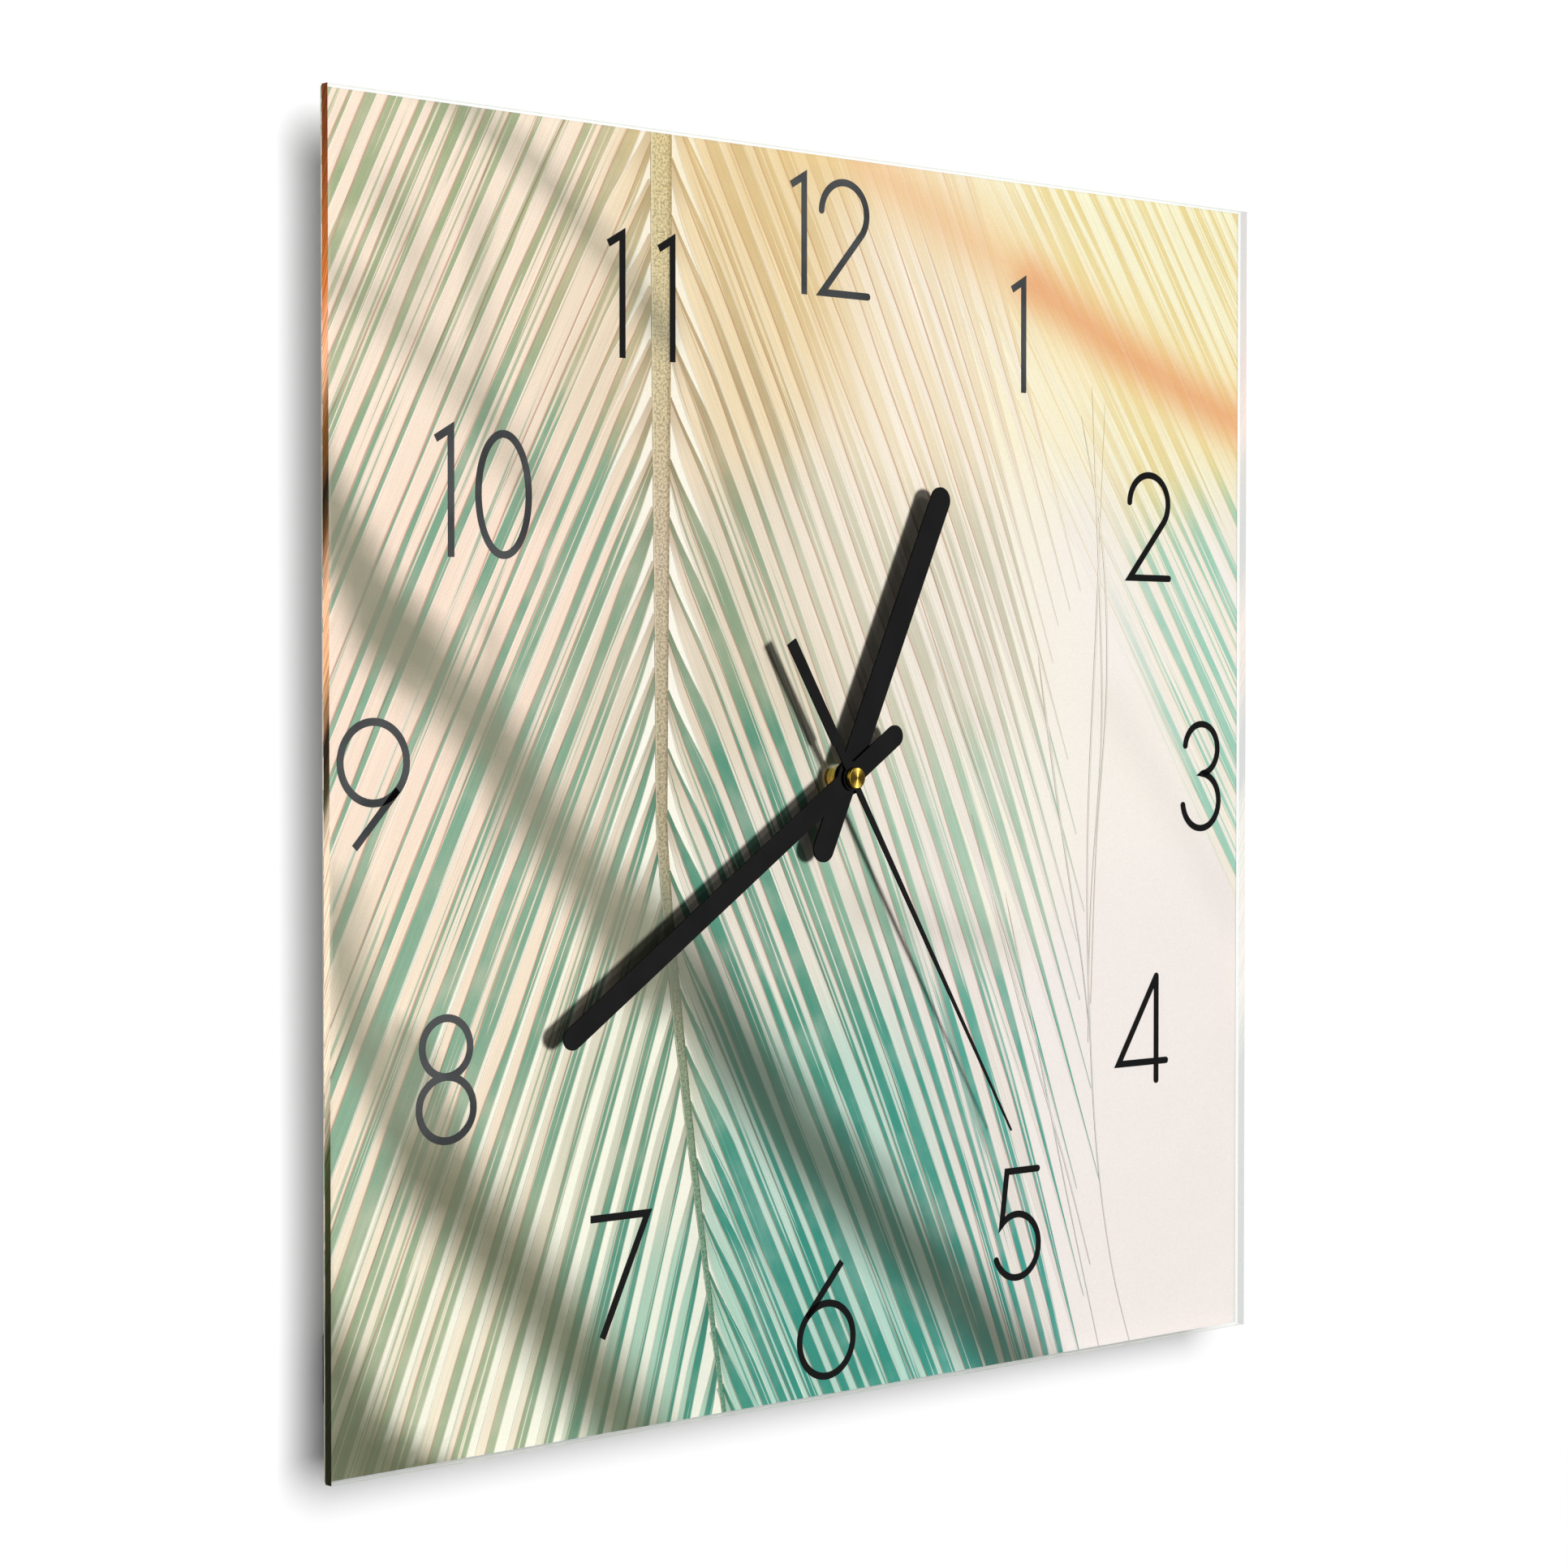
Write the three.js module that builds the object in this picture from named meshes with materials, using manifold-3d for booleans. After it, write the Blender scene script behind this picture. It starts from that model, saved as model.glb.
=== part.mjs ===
// A frameless glass wall clock with its quartz movement, built as separate solids.
// Millimetres. X runs to the viewer's right, Z up, and the dial faces -Y.
// The origin lies on the movement's rear face, on the axis of the hands, where the wall is.

import * as THREE from 'three';
import { mergeVertices } from 'three/addons/utils/BufferGeometryUtils.js';
import Module from 'manifold-3d';

const wasm = await Module();
wasm.setup();

// ---------------------------------------------------------------- driving sizes

const PANEL_SIZE = 300;
const GLASS_THICKNESS = 3;
const PRINT_THICKNESS = 0.2;
const PAD_THICKNESS = 0.5;
const GAP = 0.3;
const FULL_TURN = 2 * Math.PI;

// Positions on Y, from the wall forwards.
const CASE_SIZE = 56;
const CASE_FRONT_Y = -15.9;
const COVER_THICKNESS = 1.6;
const CASE_RIM_Y = -COVER_THICKNESS - GAP;
const PAD_REAR_Y = CASE_FRONT_Y - GAP;
const PRINT_REAR_Y = PAD_REAR_Y - PAD_THICKNESS - GAP;
const GLASS_REAR_Y = PRINT_REAR_Y - PRINT_THICKNESS - GAP;
const GLASS_FRONT_Y = GLASS_REAR_Y - GLASS_THICKNESS;

// The movement's shell.
const WALL = 1.1;
const FRONT_WALL = 1.5;
const CASE_INNER_Y = CASE_FRONT_Y + FRONT_WALL;
const PARTITION_TOP_Z = -11;
const PARTITION_BOTTOM_Z = PARTITION_TOP_Z - WALL;
const CASE_CORNER = 3;
const SCREW_X = 23.8;
const SCREW_Z = 23.8;
const SCREW_RADIUS = 1;
const SCREW_HEAD_RADIUS = 2;
const SCREW_LENGTH = 8.4;
const POST_X = 24.2;
const POST_HEIGHTS = [-8.6, 13.6];
const POST_RADIUS = 1.4;
const PILLAR_RADIUS = 2.7;
const COVER_GROOVES = { xs: [-16, -12, -8], width: 1, depth: 0.4, bottom: 14, top: 24 };
const THUMB_NOTCH_RADIUS = 7;

// The battery, an AA cell lying across the bottom.
const CELL_RADIUS = 7;
const CELL_LENGTH = 49.5;
const CELL_LEFT_X = -24.3;
const CELL_Y = -7.9;
const CELL_Z = -19.5;
const NUB_RADIUS = 2.7;
const NUB_LENGTH = 1;
const STRIP_Y = -4.4;
const STRIP_WIDTH = 3.6;
const STRIP_THICKNESS = 0.3;
const STRIP_TOP_Z = -6.4;
const STRIP_BEND = 3;
const CONTACT_PAD = 6.4;

// The arbors and tubes on the axis of the hands, from the inside out.
const SECOND_ARBOR_RADIUS = 0.45;
const CANNON_BORE = SECOND_ARBOR_RADIUS + GAP;
const CANNON_RADIUS = 1.25;
const HOUR_BORE = CANNON_RADIUS + GAP;
const HOUR_TUBE_RADIUS = 2.05;
const BUSH_BORE = HOUR_TUBE_RADIUS + GAP;
const BUSH_RADIUS = 2.85;
const BUSH_FLANGE = 2.2;
const PANEL_HOLE_RADIUS = BUSH_RADIUS + GAP;
const BUSH_FRONT_Y = GLASS_FRONT_Y - 0.9;

// The hands. Angles are clockwise from twelve, as the viewer sees them.
const HAND_THICKNESS = 0.5;
const SECOND_HAND_THICKNESS = 0.4;
const HAND_STEP = 1;
const HOUR_HAND_Y = GLASS_FRONT_Y - 1.7;
const MINUTE_HAND_Y = HOUR_HAND_Y - HAND_STEP;
const SECOND_HAND_Y = MINUTE_HAND_Y - HAND_STEP;
const CAP_Y = SECOND_HAND_Y - SECOND_HAND_THICKNESS - GAP;
const HOUR_HAND = { length: 78.2, tail: 21.9, width: 6.5, degrees: 24.9 };
const MINUTE_HAND = { length: 106.2, tail: 20.6, width: 5.3, degrees: 236.2 };
const SECOND_HAND = {
  length: 105,
  tail: 38.2,
  neck: 9.6,
  neckHalf: 0.95,
  rootHalf: 0.85,
  tipHalf: 0.22,
  tailHalf: 1.525,
  degrees: 148.4,
};
const HAND_HUB_RADIUS = 4.1;
const SECOND_HUB_RADIUS = 3.1;
const CAP_RADIUS = 2.6;
const CAP_HEIGHT = 1.2;

// The gears. A tooth is a trapezoid; widths are shares of the pitch.
const PINION_TOOTH = { addendum: 0.85, dedendum: 1.25, rootShare: 0.42, tipShare: 0.3 };
const WHEEL_TOOTH = { addendum: 0.85, dedendum: 1.2, rootShare: 0.5, tipShare: 0.2 };
const WHEEL_THICKNESS = 0.6;
const ROTOR_DISTANCE = 7;
const TRAIN_DISTANCE = 10.8;
const SETTING_DISTANCE = 12;
const ROTOR_PAIR = gearPair(ROTOR_DISTANCE, 6, 36);
const SECOND_PAIR = gearPair(TRAIN_DISTANCE, 6, 30);
const THIRD_PAIR = gearPair(TRAIN_DISTANCE, 6, 48);
const CENTRE_PAIR = gearPair(TRAIN_DISTANCE, 6, 45);
const SETTING_PAIR = gearPair(SETTING_DISTANCE, 10, 30);
const HOUR_PAIR = gearPair(SETTING_DISTANCE, 8, 32);

// Where each arbor stands, as x and z.
const AXIS = { x: 0, z: 0 };
const INTERMEDIATE = pointAt(AXIS, TRAIN_DISTANCE, 0);
const ROTOR = pointAt(INTERMEDIATE, ROTOR_DISTANCE, Math.PI / 4);
const THIRD = pointAt(AXIS, TRAIN_DISTANCE, -Math.PI / 2);
const SETTING = pointAt(AXIS, SETTING_DISTANCE, Math.PI / 2);

// Where each gear layer begins on Y, from the rear.
const ARBOR_REAR_Y = CASE_RIM_Y;
const KNOB_REAR_Y = -0.2;
const KNOB_THICKNESS = 2.2;
const KNOB_RADIUS = 5.4;
const INTERMEDIATE_PINION_Y = -2.9;
const SECOND_WHEEL_Y = -3.2;
const ROTOR_PINION_Y = -4.1;
const INTERMEDIATE_WHEEL_Y = -4.4;
const SECOND_PINION_Y = -5.5;
const THIRD_WHEEL_Y = -5.8;
const MAGNET_Y = -6;
const MAGNET_RADIUS = 1.8;
const THIRD_PINION_Y = -7;
const CENTRE_WHEEL_Y = -7.3;
const PLATE_Y = -8.4;
const PLATE_THICKNESS = 0.8;
const PLATE_TOP_Z = 17.4;
const PLATE_WINDOWS = [
  { x: 17, z: 11.5 },
  { x: -17, z: 12 },
];
const CANNON_PINION_Y = -9.5;
const SETTING_WHEEL_Y = -9.9;
const SETTING_PINION_Y = -11.3;
const HOUR_WHEEL_Y = -11.6;
const BUSH_FLANGE_Y = -13.2;
const ARBOR_RADIUS = 0.5;
const ROTOR_ARBOR_RADIUS = 0.35;
const SETTING_ARBOR_RADIUS = 0.9;

// The stepper motor's fixed half.
const COIL = { y: -8, z: 22.9, halfLength: 9.4, flange: 0.8 };
const COIL_RADII = { flange: 3.1, winding: 2.8, core: 1.9 };
const STATOR_Y = -6.6;
const STATOR_THICKNESS = 0.8;
const STATOR = { armInner: 10, armOuter: 14, bottom: 12, bridgeTop: 19.2, armTop: COIL.z + 2 };
const CORE_STRIP = { halfLength: 13.5, height: 2, thickness: 0.6 };

// The electronics.
const BOARD = { left: -22, right: -11.5, bottom: -9.5, top: 16, rearY: -12.4, thickness: 1 };
const CHIP = { x: -17, z: 2, radius: 2.6, height: 0.65 };
const CRYSTAL = { left: -20.5, right: -14.5, z: 9.5, radius: 1 };

// The hanger and the pads that keep the glass parallel to the wall.
const HANGER = { halfWidth: 10, topZ: 43, thickness: 0.8, footDepth: 8, rearY: -0.4 };
const NAIL_SLOT = { halfWidth: 6, bottomZ: 32, shoulderZ: 36, apexZ: 39.5, apexHalfWidth: 1.2 };
const SPACER_SIZE = 18;
const SPACER_INSET = 12;

// ---------------------------------------------------------------- small helpers

// The point at a distance from another, in a direction clockwise from up.
function pointAt(from, distance, angle) {
  return { x: from.x + distance * Math.sin(angle), z: from.z + distance * Math.cos(angle) };
}

// Two gears a given distance apart: the module follows from the tooth counts.
function gearPair(distance, pinionTeeth, wheelTeeth) {
  return { pinion: pinionTeeth, wheel: wheelTeeth, module: (2 * distance) / (pinionTeeth + wheelTeeth) };
}

// Turns a three.js geometry into a manifold solid.
function solid(geometry) {
  const plain = new THREE.BufferGeometry();
  plain.setAttribute('position', geometry.getAttribute('position').clone());
  if (geometry.index) {
    plain.setIndex(geometry.index.clone());
  }
  const merged = mergeVertices(plain, 1e-4);
  const triangles = Uint32Array.from(merged.index.array);
  const made = () =>
    new wasm.Manifold(
      new wasm.Mesh({
        numProp: 3,
        vertProperties: Float32Array.from(merged.getAttribute('position').array),
        triVerts: triangles,
      }),
    );
  const first = made();
  if (first.volume() > 0) {
    return first;
  }
  for (let start = 0; start < triangles.length; start += 3) {
    const kept = triangles[start + 1];
    triangles[start + 1] = triangles[start + 2];
    triangles[start + 2] = kept;
  }
  return made();
}

// Joins several solids into one.
function joined(first, ...others) {
  return others.reduce((sum, other) => sum.add(other), first);
}

// Takes several solids away from one.
function cut(first, ...others) {
  return others.reduce((rest, other) => rest.subtract(other), first);
}

// A shape drawn in x and z becomes a plate that runs forwards, to -Y, from rearY.
function plate(shape, rearY, thickness, curveSegments = 12) {
  const settings = { depth: thickness, bevelEnabled: false, curveSegments };
  const geometry = new THREE.ExtrudeGeometry(shape, settings);
  geometry.rotateX(Math.PI / 2);
  geometry.translate(0, rearY, 0);
  return solid(geometry);
}

// A block between two corners.
function block(left, right, rearY, frontY, bottom, top) {
  const geometry = new THREE.BoxGeometry(right - left, rearY - frontY, top - bottom);
  geometry.translate((left + right) / 2, (rearY + frontY) / 2, (bottom + top) / 2);
  return solid(geometry);
}

// A solid turned about a line parallel to Y. The outline lists [radius, y] pairs and closes on itself.
function turned(outline, centre = AXIS, segments = 24) {
  const closed = [...outline, outline[0]].map(([radius, y]) => new THREE.Vector2(radius, y));
  const geometry = new THREE.LatheGeometry(closed, segments);
  geometry.translate(centre.x, 0, centre.z);
  return solid(geometry);
}

// A solid turned about the Y axis. The outline lists [radius, y] pairs from the axis back to the axis.
function lathed(outline, segments) {
  const points = outline.map(([radius, y]) => new THREE.Vector2(radius, y));
  return solid(new THREE.LatheGeometry(points, segments));
}

// A round bar parallel to Y.
function rod(radius, rearY, frontY, centre = AXIS, segments = 24) {
  const geometry = new THREE.CylinderGeometry(radius, radius, rearY - frontY, segments);
  geometry.translate(centre.x, (rearY + frontY) / 2, centre.z);
  return solid(geometry);
}

// A round pipe parallel to Y.
function pipe(outer, inner, rearY, frontY, centre = AXIS, segments = 24) {
  const outline = [
    [inner, rearY],
    [outer, rearY],
    [outer, frontY],
    [inner, frontY],
  ];
  return turned(outline, centre, segments);
}

// A round bar parallel to X.
function crossRod(radius, left, right, y, z, segments = 24) {
  const geometry = new THREE.CylinderGeometry(radius, radius, right - left, segments);
  geometry.rotateZ(Math.PI / 2);
  geometry.translate((left + right) / 2, y, z);
  return solid(geometry);
}

// A rectangle with round corners, drawn in x and z.
function roundedRectangle(left, right, bottom, top, corner) {
  const shape = new THREE.Shape();
  shape.moveTo(left + corner, bottom);
  shape.lineTo(right - corner, bottom);
  shape.absarc(right - corner, bottom + corner, corner, -Math.PI / 2, 0);
  shape.lineTo(right, top - corner);
  shape.absarc(right - corner, top - corner, corner, 0, Math.PI / 2);
  shape.lineTo(left + corner, top);
  shape.absarc(left + corner, top - corner, corner, Math.PI / 2, Math.PI);
  shape.lineTo(left, bottom + corner);
  shape.absarc(left + corner, bottom + corner, corner, Math.PI, 1.5 * Math.PI);
  return shape;
}

// A round bar parallel to Z.
function uprightRod(radius, bottom, top, x, y, segments = 32) {
  const geometry = new THREE.CylinderGeometry(radius, radius, top - bottom, segments);
  geometry.rotateX(Math.PI / 2);
  geometry.translate(x, y, (bottom + top) / 2);
  return solid(geometry);
}

// A shape through a list of [x, z] corners.
function polygon(corners) {
  return new THREE.Shape(corners.map(([x, z]) => new THREE.Vector2(x, z)));
}

// ---------------------------------------------------------------- gears

// The toothed outline of a gear. With phase 0 one tooth points straight up.
function gearShape(teeth, module, tooth, phase) {
  const pitchRadius = (teeth * module) / 2;
  const rootRadius = pitchRadius - tooth.dedendum * module;
  const tipRadius = pitchRadius + tooth.addendum * module;
  const rootHalf = (tooth.rootShare * Math.PI * module) / 2 / rootRadius;
  const tipHalf = (tooth.tipShare * Math.PI * module) / 2 / tipRadius;
  const corners = [];
  for (let count = 0; count < teeth; count += 1) {
    const middle = phase + (count * FULL_TURN) / teeth;
    const flank = [
      [rootRadius, middle - rootHalf],
      [tipRadius, middle - tipHalf],
      [tipRadius, middle + tipHalf],
      [rootRadius, middle + rootHalf],
    ];
    flank.forEach(([radius, angle]) => corners.push([radius * Math.sin(angle), radius * Math.cos(angle)]));
  }
  return polygon(corners);
}

function gear(teeth, module, tooth, phase, centre, rearY, thickness) {
  return plate(gearShape(teeth, module, tooth, phase), rearY, thickness).translate([centre.x, 0, centre.z]);
}

// The phase that puts a gap of the second gear on a tooth of the first, whose phase is 0.
function meshingPhase(firstCentre, firstTeeth, secondCentre, secondTeeth) {
  const direction = Math.atan2(secondCentre.x - firstCentre.x, secondCentre.z - firstCentre.z);
  const past = direction / (FULL_TURN / firstTeeth);
  return direction + Math.PI + (past - 0.5) * (FULL_TURN / secondTeeth);
}

// The pinion of a pair, with one tooth pointing straight up.
function pinion(pair, centre, rearY, thickness) {
  return gear(pair.pinion, pair.module, PINION_TOOTH, 0, centre, rearY, thickness);
}

// The wheel of a pair, turned so that it meshes with the pinion.
function wheel(pair, pinionCentre, centre, rearY) {
  const phase = meshingPhase(pinionCentre, pair.pinion, centre, pair.wheel);
  return gear(pair.wheel, pair.module, WHEEL_TOOTH, phase, centre, rearY, WHEEL_THICKNESS);
}

// ---------------------------------------------------------------- glass and print

// A square plate of glass with chamfered edges and a hole for the bush.
function glassPanel() {
  const edge = 0.4;
  const half = PANEL_SIZE / 2 - edge;
  const shape = polygon([
    [-half, -half],
    [half, -half],
    [half, half],
    [-half, half],
  ]);
  const hole = new THREE.Path();
  hole.absarc(0, 0, PANEL_HOLE_RADIUS + edge, 0, FULL_TURN, true);
  shape.holes.push(hole);
  const geometry = new THREE.ExtrudeGeometry(shape, {
    depth: GLASS_THICKNESS - 2 * edge,
    bevelEnabled: true,
    bevelThickness: edge,
    bevelSize: edge,
    bevelSegments: 1,
    curveSegments: 16,
  });
  geometry.rotateX(Math.PI / 2);
  geometry.translate(0, GLASS_REAR_Y - edge, 0);
  return solid(geometry);
}

// The printed layer behind the glass.
function printFilm() {
  const half = PANEL_SIZE / 2 - GAP;
  const sheet = block(-half, half, PRINT_REAR_Y, PRINT_REAR_Y - PRINT_THICKNESS, -half, half);
  return cut(sheet, rod(PANEL_HOLE_RADIUS, PRINT_REAR_Y + 1, GLASS_REAR_Y, AXIS, 32));
}

// The foam tape that fixes the movement to the glass.
function mountingPad() {
  const half = CASE_SIZE / 2 - 1;
  const shape = roundedRectangle(-half, half, -half, half, CASE_CORNER);
  const centreHole = rod(PANEL_HOLE_RADIUS + 2, PAD_REAR_Y + 1, PRINT_REAR_Y, AXIS, 24);
  return cut(plate(shape, PAD_REAR_Y, PAD_THICKNESS, 3), centreHole);
}

// A soft pad low on the back; side is -1 for the left and 1 for the right.
function wallSpacer(side) {
  const outer = PANEL_SIZE / 2 - SPACER_INSET;
  const left = side > 0 ? outer - SPACER_SIZE : -outer;
  const shape = roundedRectangle(left, left + SPACER_SIZE, -outer, -outer + SPACER_SIZE, 2);
  return plate(shape, 0, -(PRINT_REAR_Y + GAP), 3);
}

// ---------------------------------------------------------------- movement shell

// Round pillars that carry the middle plate, and the two that take the screws.
function casePillars() {
  const plateFront = PLATE_Y - PLATE_THICKNESS - GAP;
  const posts = POST_HEIGHTS.flatMap((z) =>
    [-POST_X, POST_X].map((x) => rod(POST_RADIUS, plateFront, CASE_INNER_Y - 0.5, { x, z }, 12)),
  );
  const screwPillars = [-SCREW_X, SCREW_X].map((x) => {
    const centre = { x, z: SCREW_Z };
    const pillar = rod(PILLAR_RADIUS, CASE_RIM_Y, CASE_INNER_Y - 0.5, centre, 20);
    return cut(pillar, rod(SCREW_RADIUS + GAP, CASE_RIM_Y + 1, -SCREW_LENGTH - 0.5, centre, 12));
  });
  return [...posts, ...screwPillars];
}

// The box that holds everything: gear room above, battery bay below, open at the back.
function caseFront() {
  const half = CASE_SIZE / 2;
  const inner = half - WALL;
  const bayFloorY = CELL_Y - CELL_RADIUS - GAP;
  const body = plate(roundedRectangle(-half, half, -half, half, CASE_CORNER), 0, -CASE_FRONT_Y, 3);
  const coverSeat = block(-half - 1, half + 1, 1, CASE_RIM_Y, PARTITION_BOTTOM_Z - 0.2, half + 1);
  const gearRoom = plate(
    roundedRectangle(-inner, inner, PARTITION_TOP_Z, inner, 0.8),
    1,
    1 - CASE_INNER_Y,
    2,
  );
  const batteryBay = block(-inner, inner, 1, bayFloorY, -inner, PARTITION_BOTTOM_Z);
  const thumbNotch = uprightRod(THUMB_NOTCH_RADIUS, -half - 1, -inner + 0.5, 0, 0);
  const bushHole = rod(BUSH_RADIUS + GAP, CASE_INNER_Y + 1, CASE_FRONT_Y - 1, AXIS, 36);
  const stripRearY = STRIP_Y + GAP;
  const stripFrontY = STRIP_Y - STRIP_WIDTH - GAP;
  const stripSlots = [-1, 1].map((side) => {
    const middle = side * (inner - 0.6);
    return block(
      middle - 1,
      middle + 1,
      stripRearY,
      stripFrontY,
      PARTITION_BOTTOM_Z - 1,
      PARTITION_TOP_Z + 1,
    );
  });
  const shell = cut(body, coverSeat, gearRoom, batteryBay, thumbNotch, bushHole, ...stripSlots);
  const bushSeatBore = BUSH_RADIUS + BUSH_FLANGE + GAP;
  const bushSeat = pipe(bushSeatBore + 1, bushSeatBore, BUSH_FLANGE_Y, CASE_INNER_Y - 0.5, AXIS, 24);
  const settingSeatBore = SETTING_ARBOR_RADIUS + GAP;
  const settingSeat = pipe(settingSeatBore + 1, settingSeatBore, -13.1, CASE_INNER_Y - 0.5, SETTING, 14);
  return joined(shell, ...casePillars(), bushSeat, settingSeat);
}

// The lid over the gear room, with seats for the arbors and a hole for the knob.
function rearCover() {
  const half = CASE_SIZE / 2;
  const bottom = PARTITION_BOTTOM_Z + GAP;
  const sheet = plate(roundedRectangle(-half, half, bottom, half, CASE_CORNER), 0, COVER_THICKNESS, 3);
  const knobHole = rod(KNOB_RADIUS + 0.5, 1, -COVER_THICKNESS - 1, SETTING, 32);
  const screwHoles = [-SCREW_X, SCREW_X].flatMap((x) => [
    rod(SCREW_RADIUS + GAP, 1, -COVER_THICKNESS - 1, { x, z: SCREW_Z }, 16),
    rod(SCREW_HEAD_RADIUS + GAP, 1, -1, { x, z: SCREW_Z }, 16),
  ]);
  const arborSeats = [INTERMEDIATE, ROTOR, THIRD].map((centre) =>
    rod(ARBOR_RADIUS + GAP, -COVER_THICKNESS / 2, -COVER_THICKNESS - 1, centre, 12),
  );
  const { xs, width, depth, bottom: grooveBottom, top: grooveTop } = COVER_GROOVES;
  const grooves = xs.map((x) => block(x - width / 2, x + width / 2, 1, -depth, grooveBottom, grooveTop));
  return cut(sheet, knobHole, ...screwHoles, ...arborSeats, ...grooves);
}

// A cross-slotted screw, its head sunk in the cover.
function coverScrew(side) {
  const centre = { x: side * SCREW_X, z: SCREW_Z };
  const headRearY = -0.1;
  const headFrontY = -0.7;
  const rounding = 0.4;
  const outline = [
    [0, headRearY],
    [SCREW_HEAD_RADIUS - rounding, headRearY],
    [SCREW_HEAD_RADIUS, headRearY - rounding / 2],
    [SCREW_HEAD_RADIUS, headFrontY],
    [SCREW_RADIUS, headFrontY],
    [SCREW_RADIUS, -SCREW_LENGTH + 0.8],
    [0.4 * SCREW_RADIUS, -SCREW_LENGTH],
    [0, -SCREW_LENGTH],
  ];
  const slotLength = 1.1;
  const slotHalf = 0.25;
  const slotFloorY = -0.45;
  const { x, z } = centre;
  const slots = [
    block(x - slotLength, x + slotLength, 0, slotFloorY, z - slotHalf, z + slotHalf),
    block(x - slotHalf, x + slotHalf, 0, slotFloorY, z - slotLength, z + slotLength),
  ];
  return cut(lathed(outline, 14).translate([x, 0, z]), ...slots);
}

// A bent steel tab with a slot that narrows upwards, so a nail centres itself.
function hanger() {
  const footZ = CASE_SIZE / 2 + GAP;
  const { halfWidth, topZ, thickness, footDepth, rearY } = HANGER;
  const tab = roundedRectangle(-halfWidth, halfWidth, footZ - 3, topZ, 3);
  const { halfWidth: slotHalf, bottomZ, shoulderZ, apexZ, apexHalfWidth } = NAIL_SLOT;
  const slot = new THREE.Path();
  slot.moveTo(-slotHalf, bottomZ);
  slot.lineTo(-slotHalf, shoulderZ);
  slot.lineTo(-apexHalfWidth, apexZ - apexHalfWidth);
  slot.absarc(0, apexZ - apexHalfWidth, apexHalfWidth, Math.PI, 0, true);
  slot.lineTo(slotHalf, shoulderZ);
  slot.lineTo(slotHalf, bottomZ);
  tab.holes.push(slot);
  const upright = plate(tab, rearY, thickness, 5);
  const frontY = rearY - thickness;
  const belowFoot = block(-halfWidth - 1, halfWidth + 1, rearY + 1, frontY - 1, footZ - 4, footZ);
  const foot = block(-halfWidth, halfWidth, rearY, rearY - footDepth, footZ, footZ + thickness);
  return joined(cut(upright, belowFoot), foot);
}

// The threaded tube that clamps the panel, flanged inside the case.
function centreBush() {
  const outline = [
    [BUSH_BORE, BUSH_FLANGE_Y],
    [BUSH_RADIUS + BUSH_FLANGE, BUSH_FLANGE_Y],
    [BUSH_RADIUS + BUSH_FLANGE, CASE_INNER_Y + GAP],
    [BUSH_RADIUS, CASE_INNER_Y + GAP],
    [BUSH_RADIUS, BUSH_FRONT_Y + 0.25],
    [BUSH_RADIUS - 0.25, BUSH_FRONT_Y],
    [BUSH_BORE, BUSH_FRONT_Y],
  ];
  return turned(outline, AXIS, 32);
}

// The bearing plate between the going train and the motion work.
function middlePlate() {
  const inner = CASE_SIZE / 2 - WALL - GAP;
  const outline = roundedRectangle(-inner, inner, PARTITION_TOP_Z + GAP, PLATE_TOP_Z, 1.5);
  const sheet = plate(outline, PLATE_Y, PLATE_THICKNESS, 2);
  const through = (radius, centre) =>
    rod(radius, PLATE_Y + 1, PLATE_Y - PLATE_THICKNESS - 1, centre, 14);
  const holes = [
    through(CANNON_RADIUS + 1.5 * GAP, AXIS),
    through(SETTING_ARBOR_RADIUS + GAP, SETTING),
    through(ARBOR_RADIUS + GAP, THIRD),
    through(ARBOR_RADIUS + GAP, INTERMEDIATE),
    through(ROTOR_ARBOR_RADIUS + GAP, ROTOR),
  ];
  return cut(sheet, ...holes, ...PLATE_WINDOWS.map((centre) => through(3.2, centre)));
}

// ---------------------------------------------------------------- battery and contacts

// An AA cell with its raised end to the right.
function battery() {
  const right = CELL_LEFT_X + CELL_LENGTH;
  const bead = 0.5;
  const outline = [
    [0, CELL_LEFT_X],
    [CELL_RADIUS - bead, CELL_LEFT_X],
    [CELL_RADIUS, CELL_LEFT_X + bead],
    [CELL_RADIUS, right - bead],
    [CELL_RADIUS - bead, right],
    [NUB_RADIUS, right],
    [NUB_RADIUS, right + NUB_LENGTH],
    [0, right + NUB_LENGTH],
  ];
  return lathed(outline, 32)
    .rotate([0, 0, -90])
    .translate([0, CELL_Y, CELL_Z]);
}

// A contact: a pad that meets the cell and a strip that runs through the partition to the gear room.
function contact(side) {
  const outerX = side * (CASE_SIZE / 2 - WALL - GAP / 2);
  const innerX = outerX - side * STRIP_THICKNESS;
  const bentX = outerX - side * STRIP_BEND;
  const shape = polygon([
    [outerX, CELL_Z - 1],
    [outerX, STRIP_TOP_Z],
    [bentX, STRIP_TOP_Z],
    [bentX, STRIP_TOP_Z - STRIP_THICKNESS],
    [innerX, STRIP_TOP_Z - STRIP_THICKNESS],
    [innerX, CELL_Z - 1],
  ]);
  const [left, right] = side > 0 ? [innerX, outerX] : [outerX, innerX];
  const reach = CONTACT_PAD / 2;
  const pad = block(left, right, CELL_Y + reach, CELL_Y - reach, CELL_Z - reach, CELL_Z + reach);
  return joined(pad, plate(shape, STRIP_Y, STRIP_WIDTH));
}

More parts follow.
